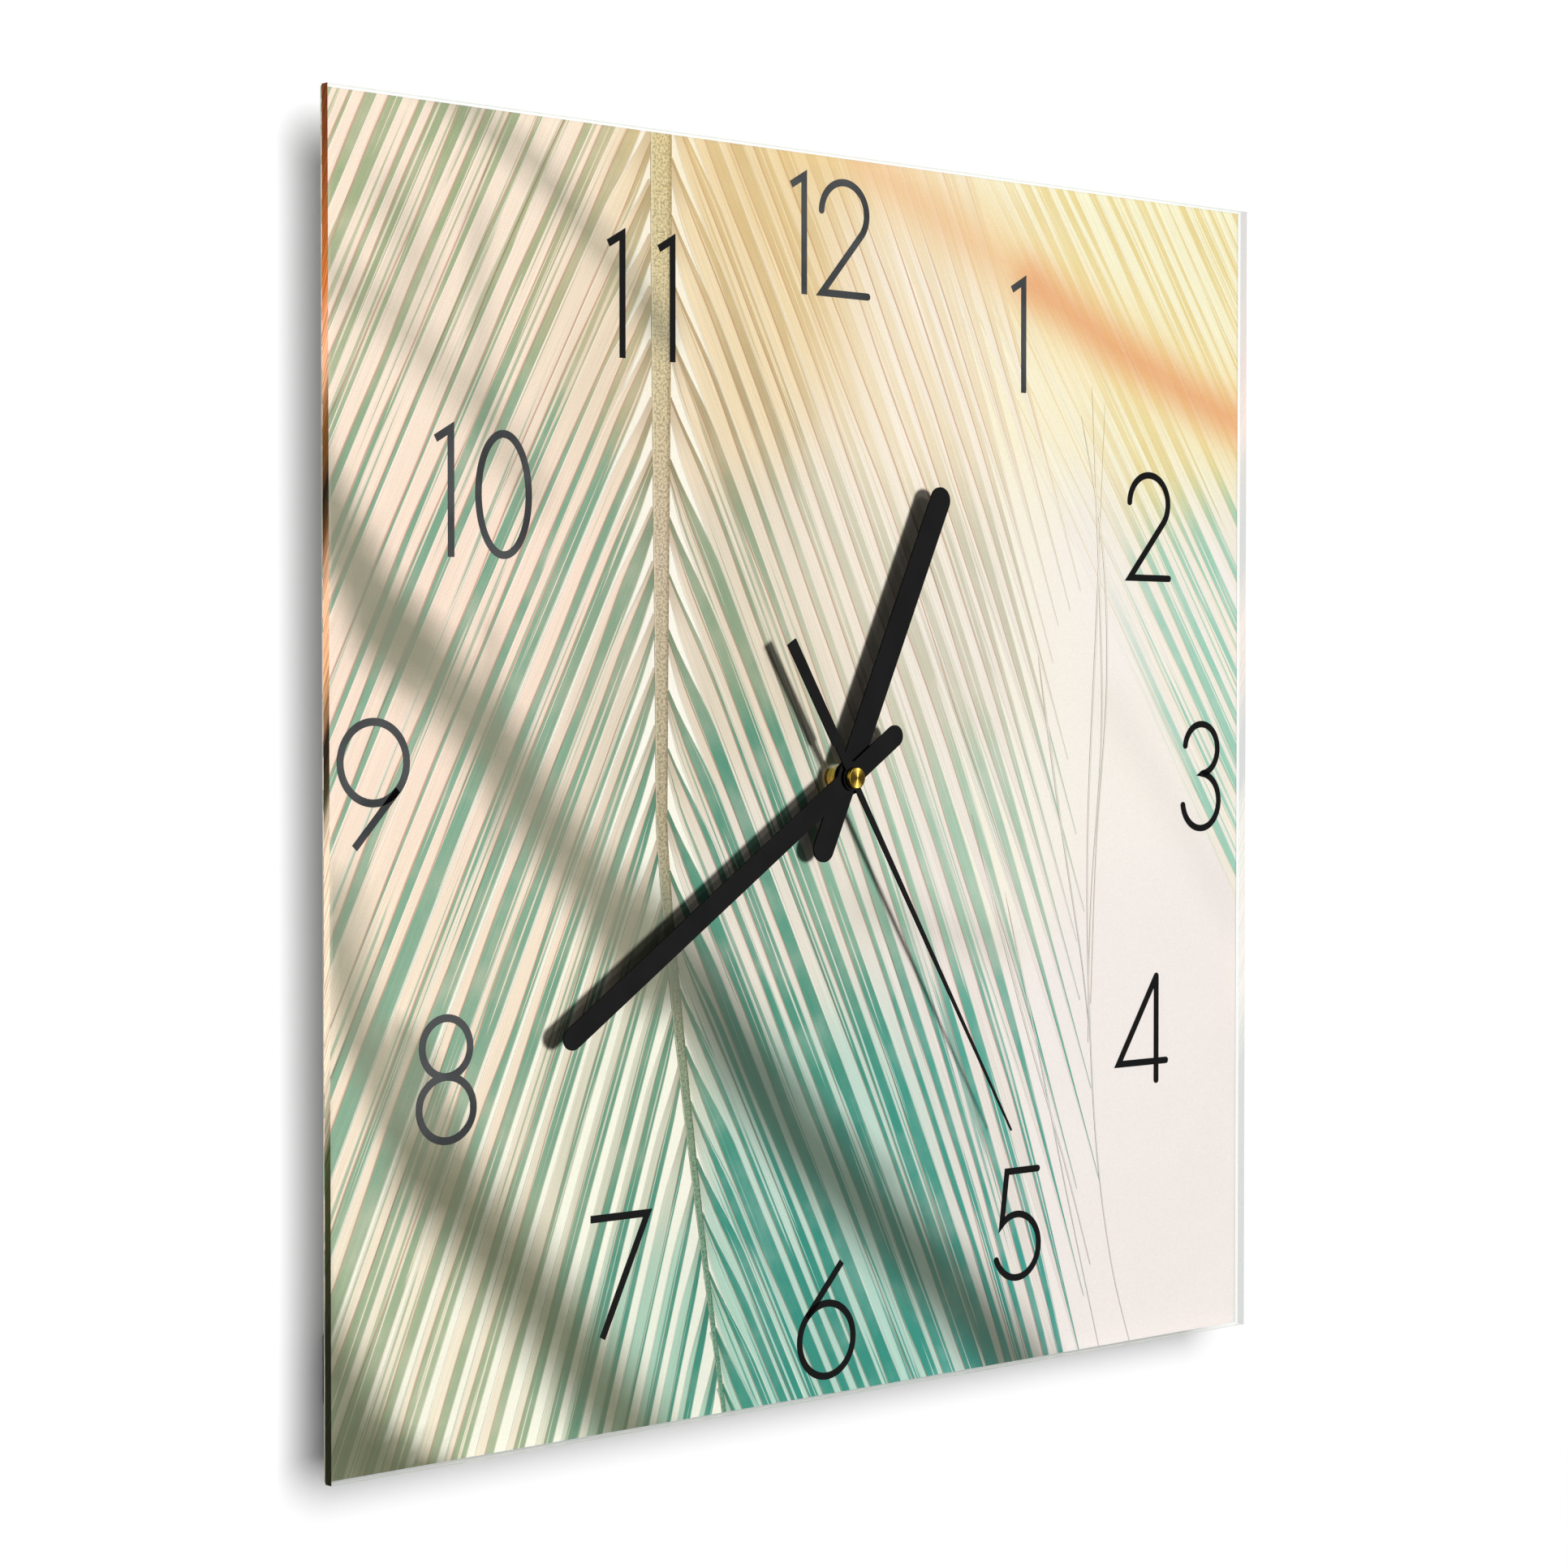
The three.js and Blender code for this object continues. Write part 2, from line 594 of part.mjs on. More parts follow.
// The cell's flat end presses on a short cone of wire.
class ConeOfWire extends THREE.Curve {
  constructor(baseX, rise, turns, wideRadius, narrowRadius) {
    super();
    Object.assign(this, { baseX, rise, turns, wideRadius, narrowRadius });
  }

  getPoint(share, target = new THREE.Vector3()) {
    const angle = share * this.turns * FULL_TURN;
    const radius = this.wideRadius + (this.narrowRadius - this.wideRadius) * share;
    return target.set(
      this.baseX + share * this.rise,
      CELL_Y + radius * Math.cos(angle),
      CELL_Z + radius * Math.sin(angle),
    );
  }
}

// The left contact, with the cone of wire joined to its pad.
function negativeContact() {
  const padX = -(CASE_SIZE / 2 - WALL - GAP / 2) + STRIP_THICKNESS;
  const wireRadius = 0.2;
  const rise = CELL_LEFT_X - GAP - wireRadius - padX;
  const wire = new THREE.Shape();
  wire.absarc(0, 0, wireRadius, 0, FULL_TURN);
  const geometry = new THREE.ExtrudeGeometry(wire, {
    steps: 26,
    curveSegments: 3,
    bevelEnabled: false,
    extrudePath: new ConeOfWire(padX, rise, 2.2, 2.6, 1.4),
  });
  return joined(contact(-1), solid(geometry));
}

// ---------------------------------------------------------------- motor and electronics

// The spool under the coil, with a flat slot through it for the core.
function coilBobbin() {
  const { y, z, halfLength, flange } = COIL;
  const core = crossRod(COIL_RADII.core, -halfLength, halfLength, y, z, 16);
  const leftFlange = crossRod(COIL_RADII.flange, -halfLength, -halfLength + flange, y, z, 20);
  const rightFlange = crossRod(COIL_RADII.flange, halfLength - flange, halfLength, y, z, 20);
  const halfY = CORE_STRIP.thickness / 2 + GAP;
  const halfZ = CORE_STRIP.height / 2 + GAP;
  const reach = halfLength + 1;
  const slot = block(-reach, reach, y + halfY, y - halfY, z - halfZ, z + halfZ);
  return cut(joined(core, leftFlange, rightFlange), slot);
}

// The wire of the coil as one solid sleeve.
function coilWinding() {
  const { y, z, halfLength, flange } = COIL;
  const half = halfLength - flange - GAP;
  const outer = crossRod(COIL_RADII.winding, -half, half, y, z, 24);
  return cut(outer, crossRod(COIL_RADII.core + GAP, -half - 1, half + 1, y, z, 16));
}

// The iron strip through the coil.
function coilCore() {
  const { y, z } = COIL;
  const reach = CORE_STRIP.halfLength;
  const halfY = CORE_STRIP.thickness / 2;
  const halfZ = CORE_STRIP.height / 2;
  return block(-reach, reach, y + halfY, y - halfY, z - halfZ, z + halfZ);
}

// The iron plate around the rotor, with an arm up to each end of the core.
function statorPlate() {
  const { armInner, armOuter, bottom, bridgeTop, armTop } = STATOR;
  const outline = polygon([
    [-armOuter, bottom],
    [armOuter, bottom],
    [armOuter, armTop],
    [armInner, armTop],
    [armInner, bridgeTop],
    [-armInner, bridgeTop],
    [-armInner, armTop],
    [-armOuter, armTop],
  ]);
  const sheet = plate(outline, STATOR_Y, STATOR_THICKNESS);
  const rotorHole = rod(MAGNET_RADIUS + 0.6, STATOR_Y + 1, STATOR_Y - STATOR_THICKNESS - 1, ROTOR, 24);
  return cut(sheet, rotorHole);
}

// The board that carries the chip and the crystal.
function circuitBoard() {
  const { left, right, bottom, top, rearY, thickness } = BOARD;
  const sheet = plate(roundedRectangle(left, right, bottom, top, 0.8), rearY, thickness, 2);
  const hole = rod(0.9, rearY + 1, rearY - thickness - 1, { x: left + 2, z: top - 2 }, 12);
  return cut(sheet, hole);
}

// A domed blob of resin over the chip.
function timerChip() {
  const { x, z, radius, height } = CHIP;
  const steps = 4;
  const baseY = BOARD.rearY + 0.2;
  const dome = Array.from({ length: steps + 1 }, (_, step) => {
    const angle = (step / steps) * (Math.PI / 2);
    return [step === steps ? 0 : radius * Math.cos(angle), baseY + 0.2 + height * Math.sin(angle)];
  });
  return lathed([[0, baseY], [radius, baseY], ...dome], 16).translate([x, 0, z]);
}

// The crystal's metal can, lying on the board.
function quartzCrystal() {
  const { left, right, z, radius } = CRYSTAL;
  return crossRod(radius, left, right, BOARD.rearY + radius + 0.2, z, 16);
}

// ---------------------------------------------------------------- going train

// The magnet on its arbor, with the pinion that drives the train.
function rotor() {
  return joined(
    rod(ROTOR_ARBOR_RADIUS, ARBOR_REAR_Y, PLATE_Y - PLATE_THICKNESS + 0.1, ROTOR, 10),
    pinion(ROTOR_PAIR, ROTOR, ROTOR_PINION_Y, 1.2),
    rod(MAGNET_RADIUS, MAGNET_Y, MAGNET_Y - 2, ROTOR, 20),
  );
}

function intermediateWheel() {
  return joined(
    rod(ARBOR_RADIUS, ARBOR_REAR_Y, PLATE_Y - PLATE_THICKNESS + 0.1, INTERMEDIATE, 10),
    pinion(SECOND_PAIR, INTERMEDIATE, INTERMEDIATE_PINION_Y, 1.2),
    wheel(ROTOR_PAIR, ROTOR, INTERMEDIATE, INTERMEDIATE_WHEEL_Y),
  );
}

// The second wheel's arbor runs right through to the second hand.
function secondWheel() {
  const arborFrontY = SECOND_HAND_Y - SECOND_HAND_THICKNESS + 0.1;
  return joined(
    rod(SECOND_ARBOR_RADIUS, ARBOR_REAR_Y, arborFrontY, AXIS, 12),
    wheel(SECOND_PAIR, INTERMEDIATE, AXIS, SECOND_WHEEL_Y),
    pinion(THIRD_PAIR, AXIS, SECOND_PINION_Y, 1.4),
  );
}

function thirdWheel() {
  return joined(
    rod(ARBOR_RADIUS, ARBOR_REAR_Y, PLATE_Y - PLATE_THICKNESS + 0.1, THIRD, 10),
    wheel(THIRD_PAIR, AXIS, THIRD, THIRD_WHEEL_Y),
    pinion(CENTRE_PAIR, THIRD, THIRD_PINION_Y, 1.1),
  );
}

// The centre wheel turns once an hour and drives the cannon pinion by friction.
function centreWheel() {
  const collar = rod(2.6, CENTRE_WHEEL_Y + 0.3, CENTRE_WHEEL_Y - WHEEL_THICKNESS - 0.2, AXIS, 16);
  const bore = rod(CANNON_RADIUS + GAP, CENTRE_WHEEL_Y + 1, PLATE_Y - 1, AXIS, 16);
  return cut(joined(wheel(CENTRE_PAIR, THIRD, AXIS, CENTRE_WHEEL_Y), collar), bore);
}

// ---------------------------------------------------------------- motion work

// The tube that carries the minute hand.
function cannonPinion() {
  const frontY = MINUTE_HAND_Y - HAND_THICKNESS - 0.2;
  const body = joined(
    rod(CANNON_RADIUS, CENTRE_WHEEL_Y + 0.1, frontY, AXIS, 20),
    pinion(SETTING_PAIR, AXIS, CANNON_PINION_Y, 1.4),
  );
  return cut(body, rod(CANNON_BORE, CENTRE_WHEEL_Y + 1, frontY - 1, AXIS, 14));
}

// The idler between the cannon pinion and the hour wheel, which the knob also turns.
function settingWheel() {
  const arborRear = KNOB_REAR_Y - KNOB_THICKNESS - GAP;
  return joined(
    rod(SETTING_ARBOR_RADIUS, arborRear, CASE_INNER_Y + GAP, SETTING, 12),
    wheel(SETTING_PAIR, AXIS, SETTING, SETTING_WHEEL_Y),
    pinion(HOUR_PAIR, SETTING, SETTING_PINION_Y, 1.3),
  );
}

// The notched knob at the back that sets the time.
function settingKnob() {
  const notches = 16;
  const disc = rod(KNOB_RADIUS, KNOB_REAR_Y, KNOB_REAR_Y - KNOB_THICKNESS, SETTING, 32);
  const cutters = Array.from({ length: notches }, (_, count) => {
    const spot = pointAt(SETTING, KNOB_RADIUS + 0.15, (count * FULL_TURN) / notches);
    return rod(0.45, 1, KNOB_REAR_Y - KNOB_THICKNESS - 1, spot, 6);
  });
  const dish = rod(3.2, 1, KNOB_REAR_Y - 0.7, SETTING, 24);
  const hub = rod(1.5, KNOB_REAR_Y - 0.2, KNOB_REAR_Y - 1.5, SETTING, 16);
  return joined(cut(disc, ...cutters, dish), hub);
}

// The wheel and tube that carry the hour hand.
function hourWheel() {
  const frontY = HOUR_HAND_Y - HAND_THICKNESS - 0.2;
  const body = joined(
    wheel(HOUR_PAIR, SETTING, AXIS, HOUR_WHEEL_Y),
    rod(HOUR_TUBE_RADIUS, HOUR_WHEEL_Y + 0.3, frontY, AXIS, 24),
  );
  return cut(body, rod(HOUR_BORE, HOUR_WHEEL_Y + 1, frontY - 1, AXIS, 16));
}

// ---------------------------------------------------------------- hands

// A straight bar with round ends, drawn pointing to twelve.
function barShape(length, tail, width) {
  const radius = width / 2;
  const shape = new THREE.Shape();
  shape.moveTo(radius, -tail + radius);
  shape.lineTo(radius, length - radius);
  shape.absarc(0, length - radius, radius, 0, Math.PI);
  shape.lineTo(-radius, -tail + radius);
  shape.absarc(0, -tail + radius, radius, Math.PI, FULL_TURN);
  return shape;
}

// The hour or the minute hand.
function barHand(hand, rearY, boreRadius) {
  const bar = plate(barShape(hand.length, hand.tail, hand.width), rearY, HAND_THICKNESS, 9);
  const hub = rod(HAND_HUB_RADIUS, rearY, rearY - HAND_THICKNESS, AXIS, 40);
  return cut(joined(bar, hub), rod(boreRadius, rearY + 1, rearY - HAND_THICKNESS - 1, AXIS, 24));
}

// A needle that tapers to its tip, with a narrow neck and a wide counterweight behind the hub.
function secondHand() {
  const { length, tail, neck, neckHalf, rootHalf, tipHalf, tailHalf } = SECOND_HAND;
  const shoulder = 0.8;
  const outline = polygon([
    [-tailHalf, -tail],
    [tailHalf, -tail],
    [tailHalf, -neck - shoulder],
    [neckHalf, -neck],
    [neckHalf, -1],
    [rootHalf, 1],
    [tipHalf, length],
    [-tipHalf, length],
    [-rootHalf, 1],
    [-neckHalf, -1],
    [-neckHalf, -neck],
    [-tailHalf, -neck - shoulder],
  ]);
  const frontY = SECOND_HAND_Y - SECOND_HAND_THICKNESS;
  const strip = plate(outline, SECOND_HAND_Y, SECOND_HAND_THICKNESS);
  const hub = rod(SECOND_HUB_RADIUS, SECOND_HAND_Y, frontY, AXIS, 40);
  return cut(joined(strip, hub), rod(CANNON_BORE, SECOND_HAND_Y + 1, frontY - 1, AXIS, 20));
}

// The polished cap over the hands' hub.
function handCap() {
  const edge = 0.2;
  const frontY = CAP_Y - CAP_HEIGHT;
  const outline = [
    [0, CAP_Y],
    [CAP_RADIUS, CAP_Y],
    [CAP_RADIUS, frontY + edge],
    [CAP_RADIUS - edge * 0.3, frontY + edge * 0.3],
    [CAP_RADIUS - edge, frontY],
    [0, frontY],
  ];
  return lathed(outline, 48);
}

// ---------------------------------------------------------------- materials and nodes

const MATERIALS = {
  glass: { color: 0xdfeee6, roughness: 0.05, metalness: 0, transparent: true, opacity: 0.35 },
  print: { color: 0xcfd6c0, roughness: 0.4, metalness: 0 },
  foam: { color: 0x2c2c2c, roughness: 0.95, metalness: 0 },
  shell: { color: 0x1c1c1e, roughness: 0.5, metalness: 0 },
  knob: { color: 0x2a2a2c, roughness: 0.45, metalness: 0 },
  whitePlastic: { color: 0xe8e6de, roughness: 0.45, metalness: 0 },
  amberPlastic: { color: 0xc9a24a, roughness: 0.4, metalness: 0 },
  steel: { color: 0xb8babd, roughness: 0.35, metalness: 1 },
  brass: { color: 0xb8923c, roughness: 0.3, metalness: 1 },
  copper: { color: 0xa8592f, roughness: 0.35, metalness: 1 },
  board: { color: 0x2f5a3c, roughness: 0.5, metalness: 0 },
  resin: { color: 0x0e0e0e, roughness: 0.35, metalness: 0 },
  sleeve: { color: 0x3c4048, roughness: 0.35, metalness: 0.2 },
  magnet: { color: 0x4a4a50, roughness: 0.4, metalness: 0.8 },
  hand: { color: 0x181818, roughness: 0.6, metalness: 0 },
};

// Puts a solid in the scene graph as a named mesh, turned clockwise by some degrees.
function meshOf(name, shape, material, degrees = 0) {
  const made = shape.getMesh();
  const indexed = new THREE.BufferGeometry();
  const positions = Float32Array.from(made.vertProperties);
  indexed.setAttribute('position', new THREE.BufferAttribute(positions, 3));
  indexed.setIndex(new THREE.BufferAttribute(Uint32Array.from(made.triVerts), 1));
  const geometry = indexed.toNonIndexed();
  geometry.computeVertexNormals();
  const mesh = new THREE.Mesh(geometry, new THREE.MeshStandardMaterial(MATERIALS[material]));
  mesh.name = name;
  mesh.rotation.y = THREE.MathUtils.degToRad(degrees);
  return mesh;
}

const clock = new THREE.Group();

const face = new THREE.Group();
face.add(meshOf('glass_panel', glassPanel(), 'glass'));
face.add(meshOf('print_film', printFilm(), 'print'));
face.add(meshOf('mounting_pad', mountingPad(), 'foam'));
face.add(meshOf('wall_spacer_left', wallSpacer(-1), 'foam'));
face.add(meshOf('wall_spacer_right', wallSpacer(1), 'foam'));
clock.add(face);

const shell = new THREE.Group();
shell.add(meshOf('case_front', caseFront(), 'shell'));
shell.add(meshOf('rear_cover', rearCover(), 'shell'));
shell.add(meshOf('cover_screw_left', coverScrew(-1), 'steel'));
shell.add(meshOf('cover_screw_right', coverScrew(1), 'steel'));
shell.add(meshOf('hanger', hanger(), 'steel'));
shell.add(meshOf('centre_bush', centreBush(), 'brass'));
shell.add(meshOf('middle_plate', middlePlate(), 'whitePlastic'));
clock.add(shell);

const electrics = new THREE.Group();
electrics.add(meshOf('battery', battery(), 'sleeve'));
electrics.add(meshOf('battery_contact_positive', contact(1), 'steel'));
electrics.add(meshOf('battery_contact_negative', negativeContact(), 'steel'));
electrics.add(meshOf('coil_bobbin', coilBobbin(), 'whitePlastic'));
electrics.add(meshOf('coil_winding', coilWinding(), 'copper'));
electrics.add(meshOf('coil_core', coilCore(), 'steel'));
electrics.add(meshOf('stator_plate', statorPlate(), 'steel'));
electrics.add(meshOf('circuit_board', circuitBoard(), 'board'));
electrics.add(meshOf('timer_chip', timerChip(), 'resin'));
electrics.add(meshOf('quartz_crystal', quartzCrystal(), 'steel'));
clock.add(electrics);

const train = new THREE.Group();
train.add(meshOf('rotor', rotor(), 'magnet'));
train.add(meshOf('intermediate_wheel', intermediateWheel(), 'whitePlastic'));
train.add(meshOf('second_wheel', secondWheel(), 'amberPlastic'));
train.add(meshOf('third_wheel', thirdWheel(), 'whitePlastic'));
train.add(meshOf('centre_wheel', centreWheel(), 'amberPlastic'));
train.add(meshOf('cannon_pinion', cannonPinion(), 'brass'));
train.add(meshOf('setting_wheel', settingWheel(), 'whitePlastic'));
train.add(meshOf('setting_knob', settingKnob(), 'knob'));
train.add(meshOf('hour_wheel', hourWheel(), 'brass'));
clock.add(train);

const hands = new THREE.Group();
const hourHand = barHand(HOUR_HAND, HOUR_HAND_Y, HOUR_TUBE_RADIUS + GAP);
const minuteHand = barHand(MINUTE_HAND, MINUTE_HAND_Y, CANNON_RADIUS + GAP);
hands.add(meshOf('hour_hand', hourHand, 'hand', HOUR_HAND.degrees));
hands.add(meshOf('minute_hand', minuteHand, 'hand', MINUTE_HAND.degrees));
hands.add(meshOf('second_hand', secondHand(), 'hand', SECOND_HAND.degrees));
hands.add(meshOf('hand_cap', handCap(), 'brass'));
clock.add(hands);

export default clock;
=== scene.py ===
import math
import random

import bmesh
import bpy
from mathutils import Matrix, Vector


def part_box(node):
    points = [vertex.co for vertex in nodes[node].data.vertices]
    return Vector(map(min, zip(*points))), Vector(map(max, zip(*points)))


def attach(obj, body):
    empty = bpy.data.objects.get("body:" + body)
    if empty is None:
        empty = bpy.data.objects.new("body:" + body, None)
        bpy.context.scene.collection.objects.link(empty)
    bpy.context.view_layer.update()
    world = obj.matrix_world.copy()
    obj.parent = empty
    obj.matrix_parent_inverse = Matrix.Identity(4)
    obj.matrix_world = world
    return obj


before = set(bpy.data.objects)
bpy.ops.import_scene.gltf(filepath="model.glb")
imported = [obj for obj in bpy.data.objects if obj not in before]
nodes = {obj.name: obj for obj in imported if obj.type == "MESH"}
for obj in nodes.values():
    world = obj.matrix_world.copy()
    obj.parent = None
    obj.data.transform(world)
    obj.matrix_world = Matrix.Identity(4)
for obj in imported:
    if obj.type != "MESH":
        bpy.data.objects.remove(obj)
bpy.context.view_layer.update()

MM = 0.001
BODY = "clock_body"

IN_MM = (1000, 1000, 1000)

# Lengths are in millimetres from here to the room, unless a comment says otherwise.
film_low, film_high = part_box("print_film")
HALF_PANEL = film_high.x / MM
FILM_FRONT = film_low.y / MM

# How far each layer of ink lies in front of the film, and the step from one leaf to the next.
GROUND_LIFT = 0.015
FAR_LEAF_LIFT = 0.03
LEAF_LIFT = 0.05
RIB_LIFT = 0.13
STRAND_LIFT = 0.14
NUMERAL_LIFT = 0.19
FAR_LEAF_STEP = 0.0003
LEAF_STEP = 0.0009
STRAND_STEP = 0.001
STROKE_STEP = 0.004
INK_THICKNESS = 0.012
GROUND_THICKNESS = 0.004


# ---------- small helpers

def linear(red, green, blue):
    """A colour given in 0 to 255 becomes scene-linear, with alpha."""
    def one(value):
        value /= 255
        return value / 12.92 if value <= 0.04045 else ((value + 0.055) / 1.055) ** 2.4
    return (one(red), one(green), one(blue), 1.0)


def smooth(low, high, value):
    """0 below low, 1 above high, and an even curve between; low may be the larger one."""
    share = min(max((value - low) / (high - low), 0.0), 1.0)
    return share * share * (3 - 2 * share)


def blend_colours(first, second, share):
    """The colour a share of the way from first to second."""
    return tuple(a + (b - a) * share for a, b in zip(first, second))


class Shader:
    """A material being built. Its methods add nodes and give back sockets."""

    def __init__(self, name, roughness=0.5, metallic=0.0, **settings):
        self.material = bpy.data.materials.new(name)
        self.material.use_nodes = True
        self.tree = self.material.node_tree
        self.tree.nodes.clear()
        self.output = self.tree.nodes.new("ShaderNodeOutputMaterial")
        self.surface = self.tree.nodes.new("ShaderNodeBsdfPrincipled")
        self.tree.links.new(self.surface.outputs["BSDF"], self.output.inputs["Surface"])
        self.set("Roughness", roughness)
        self.set("Metallic", metallic)
        for key, value in settings.items():
            self.set(key.replace("_", " ").title().replace("Ior", "IOR"), value)

    def put(self, socket, value):
        """Links a socket into another, or sets its plain value."""
        if isinstance(value, bpy.types.NodeSocket):
            self.tree.links.new(value, socket)
        else:
            socket.default_value = value

    def set(self, name, value):
        self.put(self.surface.inputs[name], value)

    def node(self, kind, inputs=None, **settings):
        """A new node, with values or sockets for its named inputs, and its own settings."""
        made = self.tree.nodes.new("ShaderNode" + kind)
        for key, value in settings.items():
            setattr(made, key, value)
        for key, value in (inputs or {}).items():
            self.put(made.inputs[key], value)
        return made

    def math(self, operation, first, second=0.0, clamp=False):
        made = self.node("Math", operation=operation, use_clamp=clamp)
        self.put(made.inputs[0], first)
        self.put(made.inputs[1], second)
        return made.outputs[0]

    def times(self, first, second):
        return self.math("MULTIPLY", first, second)

    def plus(self, first, second, clamp=False):
        return self.math("ADD", first, second, clamp)

    def minus(self, first, second):
        return self.math("SUBTRACT", first, second)

    def step(self, low, high, value, out_low=0.0, out_high=1.0):
        """A soft step from out_low to out_high while value goes from low to high."""
        made = self.node("MapRange", interpolation_type="SMOOTHSTEP")
        for slot, part in enumerate((value, low, high, out_low, out_high)):
            self.put(made.inputs[slot], part)
        return made.outputs[0]

    def mix(self, share, first, second, how="MIX"):
        made = self.node("Mix", data_type="RGBA", blend_type=how)
        self.put(made.inputs[0], share)
        self.put(made.inputs[6], first)
        self.put(made.inputs[7], second)
        return made.outputs[2]

    def ramp(self, value, stops):
        made = self.node("ValToRGB")
        while len(made.color_ramp.elements) < len(stops):
            made.color_ramp.elements.new(0.5)
        for element, (place, tone) in zip(made.color_ramp.elements, stops):
            element.position = place
            element.color = linear(*tone)
        self.put(made.inputs[0], value)
        return made.outputs[0]

    def place(self, scale=(1, 1, 1)):
        """Object coordinates in metres, stretched by scale."""
        coordinates = self.node("TexCoord").outputs["Object"]
        return self.node("Mapping", {"Vector": coordinates, "Scale": scale}).outputs[0]

    def split(self, vector):
        made = self.node("SeparateXYZ")
        self.put(made.inputs[0], vector)
        return made.outputs

    def place_mm(self):
        """Object coordinates in millimetres, as three sockets."""
        return self.split(self.place(IN_MM))

    def shaded(self, tone, level):
        """A tone made darker or lighter by a grey level."""
        return self.mix(1.0, tone, self.join(level, level, level), "MULTIPLY")

    def join(self, x=0.0, y=0.0, z=0.0):
        made = self.node("CombineXYZ")
        for slot, value in enumerate((x, y, z)):
            self.put(made.inputs[slot], value)
        return made.outputs[0]

    def noise(self, vector, scale, detail=2.0, rough=0.5):
        inputs = {"Vector": vector, "Scale": scale, "Detail": detail, "Roughness": rough}
        return self.node("TexNoise", inputs).outputs[0]

    def attribute(self, name, colour=False):
        made = self.node("Attribute", attribute_name=name)
        return made.outputs["Color" if colour else "Fac"]

    def bump(self, height, strength, distance):
        """Relief from a height; distance is in metres."""
        inputs = {"Height": height, "Strength": strength, "Distance": distance}
        self.set("Normal", self.node("Bump", inputs).outputs[0])

    def mix_surfaces(self, share, first, second):
        made = self.node("MixShader")
        for slot, value in enumerate((share, first, second)):
            self.put(made.inputs[slot], value)
        return made.outputs[0]


def dress(names, material):
    """Gives CAD nodes one material in place of what they came with."""
    for name in names:
        slots = nodes[name].data.materials
        slots.clear()
        slots.append(material)


SHARP_ANGLE = math.radians(35)


def soften(names, width):
    """Rounds the sharp edges of CAD nodes a little, so that they catch the light."""
    for name in names:
        rounding = nodes[name].modifiers.new("edge_rounding", "BEVEL")
        rounding.width = width * MM
        rounding.segments = 2
        rounding.limit_method = "ANGLE"
        rounding.angle_limit = SHARP_ANGLE
        rounding.harden_normals = True


# ---------- the printed picture: colours

def patches(*rows):
    """Soft patches of colour over the dial, from rows of x, z, reach and a colour in 0 to 255."""
    return [(x, z, reach, linear(*tone)) for x, z, reach, *tone in rows]


GROUND_TONES = patches(
    (-100, 60, 90, 255, 248, 238),
    (-100, -90, 90, 252, 248, 232),
    (-20, 110, 60, 255, 243, 222),
    (30, 20, 60, 252, 242, 226),
    (0, -100, 60, 246, 236, 226),
    (110, 20, 50, 250, 240, 236),
    (125, -90, 70, 247, 235, 233),
    (60, 130, 50, 255, 242, 212),
    (140, 130, 50, 253, 240, 205),
)
LIGHT_TONES = patches(
    (-125, 110, 50, 255, 232, 214),
    (-110, 30, 60, 255, 228, 211),
    (-120, -60, 50, 252, 230, 208),
    (-125, -130, 50, 248, 234, 212),
    (-68, 90, 30, 240, 218, 196),
    (-66, 10, 28, 226, 212, 192),
    (-70, -80, 30, 214, 212, 192),
    (-60, -135, 32, 176, 208, 188),
    (-30, 110, 40, 246, 222, 184),
    (0, 52, 26, 252, 236, 222),
    (-28, 40, 36, 232, 216, 196),
    (-16, -32, 32, 238, 226, 214),
    (0, -90, 40, 198, 220, 208),
    (10, -140, 40, 184, 216, 204),
    (40, 90, 50, 253, 238, 222),
    (50, 20, 44, 246, 234, 224),
    (55, -50, 40, 244, 230, 224),
    (70, -110, 44, 238, 226, 220),
    (110, 120, 50, 255, 246, 214),
    (145, 30, 40, 250, 238, 226),
)
DARK_TONES = patches(
    (-130, 120, 50, 170, 180, 140),
    (-110, 60, 44, 130, 170, 144),
    (-115, 0, 50, 138, 176, 150),
    (-125, -60, 46, 142, 176, 150),
    (-120, -130, 46, 168, 182, 148),
    (-70, 110, 28, 196, 184, 148),
    (-68, 30, 30, 146, 168, 142),
    (-72, -60, 34, 112, 158, 132),
    (-62, -130, 34, 66, 146, 126),
    (-30, 120, 36, 220, 190, 140),
    (-38, 88, 28, 184, 164, 128),
    (0, 52, 26, 216, 208, 186),
    (-34, 50, 30, 146, 164, 134),
    (-36, -10, 26, 88, 150, 126),
    (6, -26, 22, 148, 186, 162),
    (-16, -56, 34, 86, 152, 130),
    (80, -105, 24, 72, 162, 152),
    (10, -110, 50, 56, 146, 130),
    (34, 104, 44, 246, 226, 196),
    (50, 40, 40, 212, 204, 184),
    (60, -20, 36, 176, 202, 180),
    (60, -80, 40, 88, 168, 152),
    (70, -140, 40, 60, 158, 146),
    (110, 125, 50, 240, 216, 148),
    (148, 20, 46, 146, 204, 182),
)
SHADOW_TONE = linear(146, 146, 126)
LOW_SHADOW_TONE = linear(98, 103, 80)
DEEP_SHADOW_TONE = linear(70, 88, 78)
GLOW_TONE = linear(238, 160, 112)
HALO_TONE = linear(248, 202, 112)


PATCH_FALL = 2.2
LEAST_WEIGHT = 1e-9


